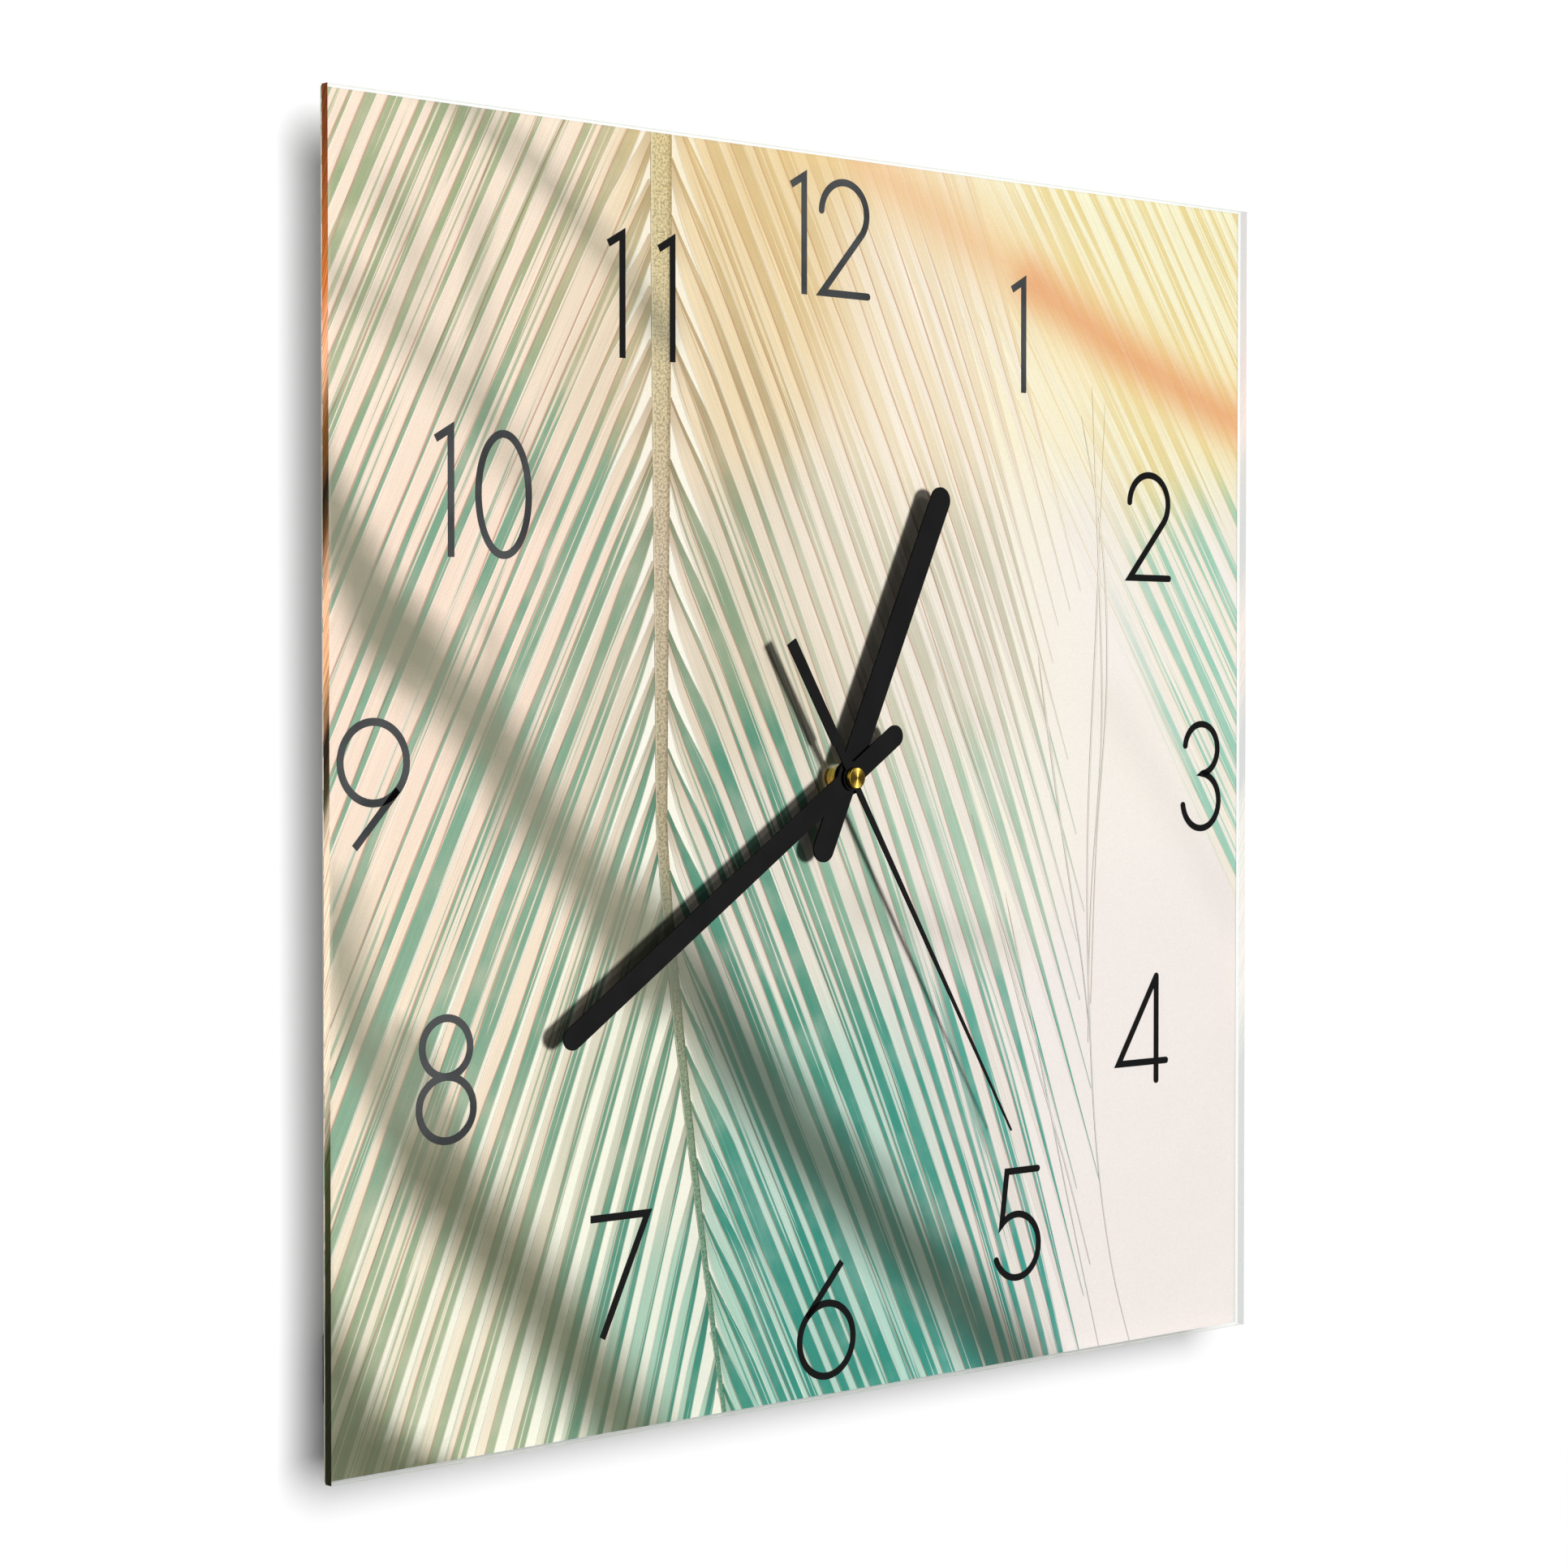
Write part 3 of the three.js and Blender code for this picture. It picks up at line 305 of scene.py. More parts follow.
def patchwork(tones, x, z):
    """The mean of the patches' colours at a place, each weighted by a bell curve of its reach."""
    total = 0.0
    mixed = [0.0, 0.0, 0.0]
    for patch_x, patch_z, reach, tone in tones:
        weight = math.exp(-PATCH_FALL * ((x - patch_x) ** 2 + (z - patch_z) ** 2) / reach ** 2) + LEAST_WEIGHT
        total += weight
        for channel in range(3):
            mixed[channel] += weight * tone[channel]
    return (mixed[0] / total, mixed[1] / total, mixed[2] / total, 1.0)


# Out-of-focus bands: a polyline, half its width, its blur and its strength.
SHADOW_BANDS = [
    ([(-160, 78), (-148, 58), (-136, 40), (-126, 30)], 5.4, 7, 0.94),
    ([(-134, 34), (-119, 24), (-99, 5), (-92, -6), (-73, -26), (-58, -46)], 5.4, 8.5, 0.90),
    ([(-137, 35), (-128, 34)], 1.4, 3, 0.45),
    ([(-144, -24), (-140, -54)], 4.5, 5, 0.42),
    ([(-129, -60), (-118, -86)], 7.5, 3.5, 0.66),
    ([(-153, -18), (-145, -37), (-141, -54), (-134, -73), (-119, -87)], 1.6, 6, 0.72),
    ([(-122, -84), (-103, -104), (-85, -124), (-68, -146), (-54, -164)], 6.6, 11, 0.92),
    ([(-160, -106), (-147, -127), (-130, -158)], 5, 9, 0.90),
    ([(-160, -142), (-142, -146), (-122, -156)], 7, 6, 0.96),
    ([(-122, 156), (-92, 139), (-66, 117), (-54, 104)], 1.6, 7, 0.62),
    ([(-156, 112), (-134, 104), (-108, 84), (-92, 66)], 2.0, 9, 0.46),
    ([(-132, 128), (-124, 112)], 3, 8, 0.30),
    ([(-108, 126), (-106, 84)], 1.6, 6, 0.30),
    ([(-104, 34), (-103, -14)], 1.4, 4.5, 0.40),
    ([(-62, -32), (-43, -49), (-29, -67), (-11, -86), (20, -112), (42, -130), (72, -158)], 6.2, 10, 0.90),
    ([(-30, -62), (20, -98)], 1.0, 6, 0.30),
    ([(10, -32), (60, -44)], 1.5, 9, 0.18),
    ([(100, 18), (150, -40)], 2, 10, 0.08),
]
GLOW_BANDS = [
    ([(10, 150), (44, 135), (72, 124)], 1.6, 10, 0.42),
    ([(70, 125), (100, 111), (130, 100), (160, 90)], 2.8, 9, 0.95),
]
HALO_BANDS = [
    ([(-10, 156), (44, 138), (84, 117), (120, 105), (160, 88)], 5, 17, 0.78),
    ([(-44, 146), (-8, 128), (0, 104)], 4, 24, 0.30),
]


def distance_to_line(points, x, z):
    nearest = 1e9
    for (x0, z0), (x1, z1) in zip(points, points[1:]):
        run_x, run_z = x1 - x0, z1 - z0
        share = ((x - x0) * run_x + (z - z0) * run_z) / (run_x ** 2 + run_z ** 2)
        share = min(max(share, 0.0), 1.0)
        nearest = min(nearest, math.hypot(x - x0 - share * run_x, z - z0 - share * run_z))
    return nearest


def banded(bands, x, z):
    """How strongly the bands cover a place together, from 0 to 1."""
    clear = 1.0
    for points, half, blur, strength in bands:
        clear *= 1 - strength * (1 - smooth(half - blur / 2, half + blur, distance_to_line(points, x, z)))
    return 1 - clear


# ---------- the printed picture: sheets

class InkSheet:
    """Flat shapes of ink that share one mesh. Each point holds its own tones."""

    FLOATS = ("across", "along", "seed", "shade", "glow", "halo")

    def __init__(self, name, material):
        self.name = name
        self.material = material
        self.mesh = bmesh.new()
        self.floats = {key: self.mesh.verts.layers.float.new(key) for key in self.FLOATS}
        self.tones = {key: self.mesh.verts.layers.float_color.new(key) for key in ("light", "dark")}

    def point(self, x, z, depth, across=0.0, along=0.0, seed=0.0, fade=0.0, tones=None):
        """A corner of the ink at (x, z). fade moves its tones towards the ground's."""
        vert = self.mesh.verts.new((x * MM, depth * MM, z * MM))
        values = {
            "across": across,
            "along": along,
            "seed": seed,
            "shade": banded(SHADOW_BANDS, x, z),
            "glow": banded(GLOW_BANDS, x, z),
            "halo": banded(HALO_BANDS, x, z),
        }
        for key, value in values.items():
            vert[self.floats[key]] = value
        light, dark = tones or (patchwork(LIGHT_TONES, x, z), patchwork(DARK_TONES, x, z))
        if fade > 0:
            ground = patchwork(GROUND_TONES, x, z)
            light = blend_colours(light, ground, fade)
            dark = blend_colours(dark, ground, fade)
        vert[self.tones["light"]] = light
        vert[self.tones["dark"]] = dark
        return vert

    def finish(self, layer_thickness=INK_THICKNESS):
        """Trims the sheet at the panel's four sides, gives it thickness and puts it in the scene."""
        for axis in (0, 2):
            for side in (-1, 1):
                normal = [0, 0, 0]
                normal[axis] = side
                everything = self.mesh.verts[:] + self.mesh.edges[:] + self.mesh.faces[:]
                edge = [side * HALF_PANEL * MM if place == axis else 0 for place in range(3)]
                bmesh.ops.bisect_plane(
                    self.mesh, geom=everything, plane_co=edge, plane_no=normal, clear_outer=True
                )
        data = bpy.data.meshes.new(self.name)
        self.mesh.to_mesh(data)
        self.mesh.free()
        data.materials.append(self.material)
        made = bpy.data.objects.new(self.name, data)
        bpy.context.scene.collection.objects.link(made)
        body = made.modifiers.new("ink_thickness", "SOLIDIFY")
        body.thickness = layer_thickness * MM
        body.offset = -1
        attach(made, BODY)
        return made


def add_ribbon(sheet, spine, half_width, depth, seed, columns=3, fade=None):
    """A long leaf along a spine of (x, z) points. half_width gives its two half widths at each share."""
    rows = []
    length = 0.0
    for index, (x, z) in enumerate(spine):
        before = spine[max(index - 1, 0)]
        after = spine[min(index + 1, len(spine) - 1)]
        run_x, run_z = after[0] - before[0], after[1] - before[1]
        size = math.hypot(run_x, run_z)
        side_x, side_z = -run_z / size, run_x / size
        if index:
            length += math.hypot(x - before[0], z - before[1])
        left, right = half_width(index / (len(spine) - 1))
        row = []
        for column in range(columns + 1):
            across = -1 + 2 * column / columns
            reach = across * (left if across < 0 else right)
            place_x, place_z = x + side_x * reach, z + side_z * reach
            faded = fade(place_x, place_z) if fade else 0.0
            row.append(sheet.point(place_x, place_z, depth, across, length / 100, seed, faded))
        rows.append(row)
    for row, following in zip(rows, rows[1:]):
        for column in range(columns):
            corners = (row[column], row[column + 1], following[column + 1], following[column])
            sheet.mesh.faces.new(corners)


def spine_from(x, z, start_degrees, end_degrees, length, side, steps):
    """A gently curving line that falls from (x, z); angles are measured from straight down."""
    points = [(x, z)]
    for step in range(steps):
        share = (step + 0.5) / steps
        angle = math.radians(start_degrees + (end_degrees - start_degrees) * share ** 1.4)
        x += side * math.sin(angle) * length / steps
        z -= math.cos(angle) * length / steps
        points.append((x, z))
    return points


def rib_x(z):
    """Where the rib stands at a height: straight above, leaning to the right below."""
    return -54.4 + 0.0465 * max(-10 - z, 0) ** 1.22


def rib_half(z):
    """Half the rib's width at a height."""
    if z > -40:
        return 1.1 + 1.5 * smooth(-120, 130, z) + 0.6 * smooth(20, 150, z)
    return 0.65 + 1.0 * smooth(-150, -20, z)


LEAF_MARGIN = 8


def near_panel(points, margin):
    """True where any point lies on the panel or within a margin of it."""
    return any(max(abs(x), abs(z)) < HALF_PANEL + margin for x, z in points)


INK_GLOSS = {"roughness": 0.42, "specular_ior_level": 0.15}
SUBTLE = {"strength": 0.08, "distance": 0.00002}


def leaf_shader(name, edge_tone, edge_strength):
    """Folded leaflets: a light half, a dark half, fine streaks along them and a crisp fold line."""
    shader = Shader(name, **INK_GLOSS)
    across = shader.attribute("across")
    along = shader.attribute("along")
    seed = shader.attribute("seed")
    drift_place = shader.join(shader.times(seed, 37.0), shader.times(along, 1.6))
    drift = shader.minus(shader.noise(drift_place, 1.0, 1.0), 0.5)
    own = shader.times(shader.minus(seed, 0.42), 0.75)
    fold = shader.plus(own, shader.times(drift, 0.9))
    past = shader.minus(across, fold)
    dark_half = shader.step(-0.035, 0.035, past)

    def stretched(by_across, by_seed, by_along):
        """A place for noise that is long along the leaflet and differs from one leaflet to the next."""
        sideways = shader.plus(shader.times(across, by_across), shader.times(seed, by_seed))
        return shader.join(sideways, shader.times(along, by_along))

    streak_place = stretched(2.6, 71.0, 0.7)
    streaks = shader.step(0.60, 0.64, shader.noise(streak_place, 1.0, 1.0))
    pale_streaks = shader.step(0.395, 0.36, shader.noise(streak_place, 1.35, 1.0))

    fibres = shader.noise(stretched(22.0, 53.0, 2.2), 1.0, 3.0, 0.6)

    share = shader.plus(dark_half, shader.times(streaks, 0.75), clamp=True)
    share = shader.times(share, shader.minus(1.0, shader.times(pale_streaks, 0.85)))
    clouds = shader.noise(shader.place(), 60.0, 3.0, 0.55)
    share = shader.times(share, shader.step(0.2, 0.62, clouds, 0.72, 1.0))
    blurred = shader.attribute("halo")
    kept = shader.minus(1.0, shader.times(blurred, 0.75))
    share = shader.plus(shader.times(share, kept), shader.times(blurred, 0.3))
    crisp = shader.minus(1.0, blurred)
    tone = shader.mix(share, shader.attribute("light", True), shader.attribute("dark", True))

    near_fold = shader.step(0.10, 0.0, shader.math("ABSOLUTE", shader.plus(past, 0.04)))
    near_fold = shader.times(near_fold, shader.times(crisp, edge_strength))
    tone = shader.mix(near_fold, tone, edge_tone, "MULTIPLY")
    rim = shader.step(0.86, 0.97, shader.math("ABSOLUTE", across))
    rim = shader.times(rim, shader.times(crisp, 0.55))
    tone = shader.mix(rim, tone, linear(255, 246, 236))
    lit = shader.step(0.25, 0.75, fibres, 0.86, 1.10)
    tone = shader.shaded(tone, lit)
    base_dark = shader.step(0.16, 0.0, along)
    tone = shader.mix(shader.times(base_dark, 0.35), tone, linear(150, 132, 100), "MULTIPLY")
    finish_print(shader, tone)
    return shader.material


def finish_print(shader, tone):
    """The out-of-focus light and shade that lie over every printed part, and the print's own grain."""
    tone = shader.mix(shader.attribute("halo"), tone, shader.mix(0.55, tone, HALO_TONE))
    tone = shader.mix(shader.times(shader.attribute("glow"), 0.82), tone, GLOW_TONE)
    shade = shader.attribute("shade")
    across_dial, _, up_dial = shader.place_mm()
    left_tone = shader.mix(shader.step(-66.0, -100.0, up_dial), SHADOW_TONE, LOW_SHADOW_TONE)
    flat_tone = shader.mix(shader.step(-66.0, -34.0, across_dial), left_tone, DEEP_SHADOW_TONE)
    soft_shadow = shader.mix(0.72, shader.mix(1.0, tone, linear(150, 148, 130), "MULTIPLY"), flat_tone)
    tone = shader.mix(shade, tone, soft_shadow)
    grain = shader.noise(shader.place(), 2600.0, 1.0)
    amount = shader.step(0.3, 0.7, grain, 0.965, 1.03)
    shader.set("Base Color", shader.shaded(tone, amount))
    shader.bump(grain, **SUBTLE)


def ground_shader():
    """The pale ground, clouded between its two tones."""
    shader = Shader("print_ground_ink", **INK_GLOSS)
    clouds = shader.noise(shader.place(), 26.0, 3.0, 0.5)
    tone = shader.mix(
        shader.step(0.42, 0.62, clouds, 0.0, 0.5),
        shader.attribute("light", True),
        shader.attribute("dark", True),
    )
    finish_print(shader, tone)
    return shader.material


def rib_shader():
    """A coarse, grainy stalk, tan above and olive below."""
    shader = Shader("print_rib_ink", roughness=0.45, specular_ior_level=0.15)
    height = shader.place_mm()[2]
    tone = shader.ramp(
        shader.step(-150.0, 150.0, height),
        [
            (0.0, (104, 150, 126)),
            (0.25, (150, 152, 124)),
            (0.45, (182, 168, 138)),
            (0.75, (208, 188, 162)),
            (1.0, (220, 200, 156)),
        ],
    )
    speckle = shader.noise(shader.place(), 1500.0, 2.0, 0.7)
    dots = shader.step(0.36, 0.60, speckle, 0.62, 1.18)
    tone = shader.shaded(tone, dots)
    across = shader.attribute("across")
    dark_side = shader.step(0.35, 1.0, across)
    tone = shader.mix(shader.times(dark_side, 0.55), tone, linear(168, 150, 118), "MULTIPLY")
    bright_side = shader.step(-0.70, -0.98, across)
    tone = shader.mix(shader.times(bright_side, 0.5), tone, linear(238, 226, 200))
    finish_print(shader, tone)
    return shader.material


def add_ground():
    """The pale ground of the picture, a sheet of small squares so that its tones change smoothly."""
    sheet = InkSheet("print_ground", ground_shader())
    count = 96
    warmth = 0.35
    pitch = 2 * HALF_PANEL / count
    rows = []
    for row in range(count + 1):
        line = []
        for column in range(count + 1):
            x = -HALF_PANEL + column * pitch
            z = -HALF_PANEL + row * pitch
            ground = patchwork(GROUND_TONES, x, z)
            warmer = blend_colours(ground, patchwork(LIGHT_TONES, x, z), warmth)
            line.append(sheet.point(x, z, FILM_FRONT - GROUND_LIFT, tones=(ground, warmer)))
        rows.append(line)
    hole = 0.8 * (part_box("centre_bush")[1].x + MM)
    for lower, upper in zip(rows, rows[1:]):
        for column in range(count):
            corners = (lower[column], lower[column + 1], upper[column + 1], upper[column])
            middle = sum((vert.co for vert in corners), Vector()) / 4
            if math.hypot(middle.x, middle.z) > hole:
                sheet.mesh.faces.new(corners)
    return sheet.finish(GROUND_THICKNESS)


def add_left_leaves(material):
    """Leaflets that hang from the rib to the lower left, from above the panel down to its foot."""
    random.seed(11)
    sheet = InkSheet("print_leaves_left", material)
    base = 352.0
    count = 0
    while base > -168:
        slant = 13 + 14 * smooth(-150, 130, base)
        pitch = 12.6 + 1.6 * smooth(40, -140, base)
        length = 300 if base > 60 else 200 + 0.6 * (base + 160)
        start_x = rib_x(base) - rib_half(base) + 0.6
        spine = spine_from(start_x, base, slant + 2, slant - 4, length, -1, 64)
        cover = pitch * math.sin(math.radians(slant)) * 0.56
        seed = random.random()
        widen = random.uniform(0.92, 1.10)

        def half_width(share):
            full = cover * widen * (1 + 0.28 * share)
            grown = 0.40 + 0.60 * smooth(0.0, 0.08, share)
            tip = 1 - 0.97 * smooth(0.86, 1.0, share)
            return full * grown * tip, full * tip * (0.62 + 0.38 * smooth(0.0, 0.06, share))

        if near_panel(spine, LEAF_MARGIN):
            add_ribbon(sheet, spine, half_width, FILM_FRONT - LEAF_LIFT - LEAF_STEP * count, seed)
        base -= pitch * random.uniform(0.94, 1.06)
        count += 1
    return sheet.finish()


def add_right_leaves(material):
    """Leaflets that droop from the rib to the lower right and thin out to long tips."""
    random.seed(23)
    sheet = InkSheet("print_leaves_right", material)
    pitch = 13.6
    base = 330.0
    count = 0
    while base > -166:
        narrowing = 0.56 + 0.30 * smooth(190, 120, base)
        droop = 11 * smooth(-60, 140, base)
        slant = 29 + 3 * smooth(120, 220, base)
        length = random.uniform(292, 318) + 46 * smooth(270, 130, base)
        start_x = rib_x(base) + rib_half(base) - 0.5
        spine = spine_from(start_x, base, slant - 2, slant - droop, length, 1, 76)
        cover = pitch * math.sin(math.radians(slant)) * 0.53
        seed = random.random()
        widen = random.uniform(0.9, 1.08)

        def half_width(share):
            full = cover * widen
            grown = 0.24 + 0.76 * smooth(0.0, 0.085, share)
            tip = 1 - 0.96 * smooth(narrowing, 1.0, share)
            return full * tip * (0.45 + 0.55 * smooth(0, 0.05, share)), full * grown * tip

        if near_panel(spine, LEAF_MARGIN):
            add_ribbon(sheet, spine, half_width, FILM_FRONT - LEAF_LIFT - LEAF_STEP * count, seed)
        base -= pitch * random.uniform(0.94, 1.06)
        count += 1
    return sheet.finish()


def add_far_leaves(material):
    """A second frond beyond the first: parallel blades across the top right, fading in from the left."""
    random.seed(37)
    sheet = InkSheet("print_leaves_far", material)
    across = 14.0
    count = 0

    def fade(x, z):
        right = smooth(93, 124, x + 0.25 * (z - 40))
        top = smooth(100, 126, z) * smooth(46, 70, x)
        shown = max(right * smooth(-70, 10, z - 1.6 * (125 - x)), top)
        return 1 - 0.88 * shown

    while across < 176:
        width = random.uniform(1.9, 3.6)
        spine = spine_from(across, 166, 36 + random.uniform(-1, 1), 34, 250, 1, 60)
        seed = random.random()

        def half_width(share):
            return width, width

        depth = FILM_FRONT - FAR_LEAF_LIFT - FAR_LEAF_STEP * count
        add_ribbon(sheet, spine, half_width, depth, seed, 2, fade)
        across += width * 2.05 + random.choice((0, 0, 0.8, 1.6))
        count += 1
    return sheet.finish()


def add_rib():
    """The frond's stalk, from just above the panel to just below it."""
    sheet = InkSheet("print_rib", rib_shader())
    steps = 110
    top = 152

    def height(share):
        return top - 2 * top * share

    def half_width(share):
        half = rib_half(height(share))
        return half, half

    spine = [(rib_x(height(step / steps)), height(step / steps)) for step in range(steps + 1)]
    add_ribbon(sheet, spine, half_width, FILM_FRONT - RIB_LIFT, 0.5, 4)
    return sheet.finish()


def strand_fade(x, z):
    """Strands are a third of the way to the ground's tones, wherever they are."""
    return 0.35


def add_strands(material):
    """Single hairs that hang beyond the leaf tips."""
    random.seed(5)
    sheet = InkSheet("print_strands", material)
    steps = 8
    lines = [
        [(97, 96), (94, 40), (91, -10), (91, -50), (94, -95), (100, -128), (108, -152)],
        [(92, 100), (95, 50), (96, 10), (92, -34), (91, -70)],
        [(88, 92), (96, 60), (98, 24), (94, -20), (92, -60)],
        [(60, -30), (72, -70), (84, -112), (96, -152)],
        [(48, -10), (66, -60), (82, -100), (92, -128)],
        [(72, 30), (80, -10), (88, -46), (91, -64)],
    ]
    for number, line in enumerate(lines):
        spine = []
        for index in range(len(line) - 1):
            earlier = line[max(index - 1, 0)]
            start, end = line[index], line[index + 1]
            later = line[min(index + 2, len(line) - 1)]
            for step in range(steps):
                share = step / steps
                spine.append(tuple(catmull(earlier[k], start[k], end[k], later[k], share) for k in (0, 1)))
        spine.append(line[-1])
        thick = random.uniform(0.26, 0.40)

        def half_width(share):
            half = thick * (1 - 0.7 * share) * (0.1 + 0.9 * smooth(0, 0.2, share))
            return half, half

        depth = FILM_FRONT - STRAND_LIFT - STRAND_STEP * number
        add_ribbon(sheet, spine, half_width, depth, random.random(), 2, strand_fade)
    return sheet.finish()


def catmull(before, start, end, after, share):
    """A smooth curve through start and end."""
    pull = (
        2 * start
        + (end - before) * share
        + (2 * before - 5 * start + 4 * end - after) * share ** 2
        + (3 * start - before - 3 * end + after) * share ** 3
    )
    return pull / 2


# ---------- numerals

STROKE = 1.75
SAME_POINT = 1e-6
LEAST_MITRE = 0.34
ROUND_END_STEPS = 10


def arc(x, z, across, up, start, end, steps=40):
    """Points round an ellipse, by degrees from the viewer's right, anticlockwise."""
    points = []
    for step in range(steps + 1):
        angle = math.radians(start + (end - start) * step / steps)
        points.append((x + across * math.cos(angle), z + up * math.sin(angle)))
    return points


def tangent_degrees(x, z, radius, from_x, from_z, side):
    """Where a line from a point touches a circle."""
    away = math.hypot(from_x - x, from_z - z)
    direction = math.atan2(from_z - z, from_x - x)
    return math.degrees(direction + side * math.acos(radius / away))


def one(x, z):
    return [([(x - 4.3, z + 25.9), (x - 0.1, z + 28.3), (x - 0.1, z)], False)]


def two(x, z):
    bow = arc(x + 8.4, z + 20.4, 7.5, 7.5, 178, -38)
    return [([*bow, (x + 1.0, z + 0.9), (x + 16.2, z + 0.9)], True)]


def three(x, z):
    upper = arc(x + 7.6, z + 21.6, 6.5, 6.6, 172, -84)
    lower = arc(x + 7.4, z + 7.7, 7.2, 7.3, 84, -172)
    return [([*upper, *lower], True)]


def four(x, z):
    sail = [(x + 15.6, z + 28.0), (x + 0.9, z + 5.5), (x + 19.4, z + 5.5)]
    return [(sail, True), ([(x + 15.6, z + 28.0), (x + 15.6, z + 0.5)], True)]


def five(x, z):
    bowl = arc(x + 9.0, z + 8.9, 8.0, 8.1, 133, -158)
    return [([(x + 16.6, z + 28.1), (x + 5.4, z + 28.1), *bowl], True)]


def six(x, z):
    circle_x, circle_z, radius = x + 9.7, z + 9.7, 8.85
    tail = (x + 14.8, z + 28.2)
    touch = tangent_degrees(circle_x, circle_z, radius, *tail, 1)
    ring = arc(circle_x, circle_z, radius, radius, touch, touch + 360, 72)
    return [([tail, *ring], False)]


def nine(x, z):
    return [
        ([(2 * x + 19.4 - px, 2 * z + 28.8 - pz) for px, pz in points], rounded)
        for points, rounded in six(x, z)
    ]


def seven(x, z):
    return [([(x, z + 27.9), (x + 17.0, z + 27.9), (x + 3.4, z + 0.2)], False)]


def eight(x, z):
    return [
        (arc(x + 8.3, z + 21.6, 6.6, 6.5, -90, 270, 64), False),
        (arc(x + 8.3, z + 8.0, 7.5, 7.1, 90, 450, 64), False),
    ]


def zero(x, z):
    return [(arc(x + 8.0, z + 14.4, 7.1, 13.5, 0, 360, 80), False)]


# Numerals marked with painted glare are printed grey instead of black, standing in for a reflection on the
# glass over them.
BLACK_INK = 0.0
PAINTED_GLARE_INK = 1.0
NUMERALS = {
    "numeral_12": (one(-9.3, 116) + two(-4.6, 116), PAINTED_GLARE_INK),
    "numeral_1": (one(66.6, 96.8), PAINTED_GLARE_INK),
    "numeral_2": (two(105.7, 50), BLACK_INK),
    "numeral_3": (three(127.6, -15.8), BLACK_INK),
    "numeral_4": (four(101.8, -82.1), BLACK_INK),
    "numeral_5": (five(55.4, -129.2), BLACK_INK),
    "numeral_6": (six(-11.7, -146.1), BLACK_INK),
    "numeral_7": (seven(-75.8, -128.0), BLACK_INK),
    "numeral_8": (eight(-125.2, -79.6), PAINTED_GLARE_INK),
    "numeral_9": (nine(-146.1, -14.0), PAINTED_GLARE_INK),
    "numeral_10": (one(-115.2, 50.2) + zero(-108.6, 50.1), PAINTED_GLARE_INK),
    "numeral_11": (one(-66.0, 97.1) + one(-50.9, 97.1), BLACK_INK),
}


def outline_of(points, half):
    """The left and right borders of a stroke, mitred at its corners."""
    closed = math.dist(points[0], points[-1]) < SAME_POINT
    left, right = [], []
    last = len(points) - 1
    for index, (x, z) in enumerate(points):
        before = points[index - 1] if index else (points[last - 1] if closed else None)
        after = points[index + 1] if index < last else (points[1] if closed else None)
        runs = []
        for start, end in ((before, (x, z)), ((x, z), after)):
            if start and end and math.dist(start, end) > SAME_POINT:
                size = math.dist(start, end)
                runs.append(((end[0] - start[0]) / size, (end[1] - start[1]) / size))
        run_x = sum(run[0] for run in runs)
        run_z = sum(run[1] for run in runs)
        size = math.hypot(run_x, run_z)
        run_x, run_z = run_x / size, run_z / size
        stretch = 1 / max(run_x * runs[0][0] + run_z * runs[0][1], LEAST_MITRE)
        left.append((x - run_z * half * stretch, z + run_x * half * stretch))
        right.append((x + run_z * half * stretch, z - run_x * half * stretch))
    return left, right


def ink_shader():
    """Screen-printed black, a little uneven; greyer on some numerals, a painted glare from the glass."""
    shader = Shader("numeral_ink", roughness=0.38, specular_ior_level=0.1)
    # The seed says how much painted glare greys the ink.
    faded = shader.attribute("seed")
    cloud = shader.noise(shader.place(), 70.0, 2.0)
    grey = shader.mix(shader.step(0.35, 0.65, cloud), linear(58, 58, 60), linear(80, 80, 82))
    tone = shader.mix(faded, linear(12, 12, 12), grey)
    grain = shader.noise(shader.place(), 3000.0, 1.0)
    amount = shader.step(0.3, 0.7, grain, 0.92, 1.08)
    shader.set("Base Color", shader.shaded(tone, amount))
    shader.bump(grain, **SUBTLE)
    return shader.material


def add_numeral(name, strokes, painted_glare, material):
    """A numeral of one or more strokes; its seed says whether painted glare greys the ink."""
    sheet = InkSheet(name, material)
    depth = FILM_FRONT - NUMERAL_LIFT
    for points, rounded in strokes:
        depth -= STROKE_STEP
        left, right = outline_of(points, STROKE / 2)
        plain = {"depth": depth, "seed": painted_glare, "tones": ((0, 0, 0, 1), (0, 0, 0, 1))}
        rows = [
            (sheet.point(*a, **plain), sheet.point(*b, **plain)) for a, b in zip(left, right)
        ]
        for row, following in zip(rows, rows[1:]):
            sheet.mesh.faces.new((row[0], row[1], following[1], following[0]))
        if rounded:
            for end, inner, row in ((points[0], points[1], rows[0]), (points[-1], points[-2], rows[-1])):
                add_round_end(sheet, end, inner, row, plain)
    return sheet.finish()


def add_round_end(sheet, end, inner, row, plain):
    """Half a disc that shares the stroke's last two points."""
    outward = math.atan2(end[1] - inner[1], end[0] - inner[0])
    first = math.atan2(row[0].co.z / MM - end[1], row[0].co.x / MM - end[0])
    turn = -1 if math.sin(outward - first) < 0 else 1
    rim = [row[0]]
    for step in range(1, ROUND_END_STEPS):
        angle = first + turn * math.pi * step / ROUND_END_STEPS
        rim.append(
            sheet.point(
                end[0] + STROKE / 2 * math.cos(angle), end[1] + STROKE / 2 * math.sin(angle), **plain
            )
        )
    rim.append(row[1])
    sheet.mesh.faces.new(rim)


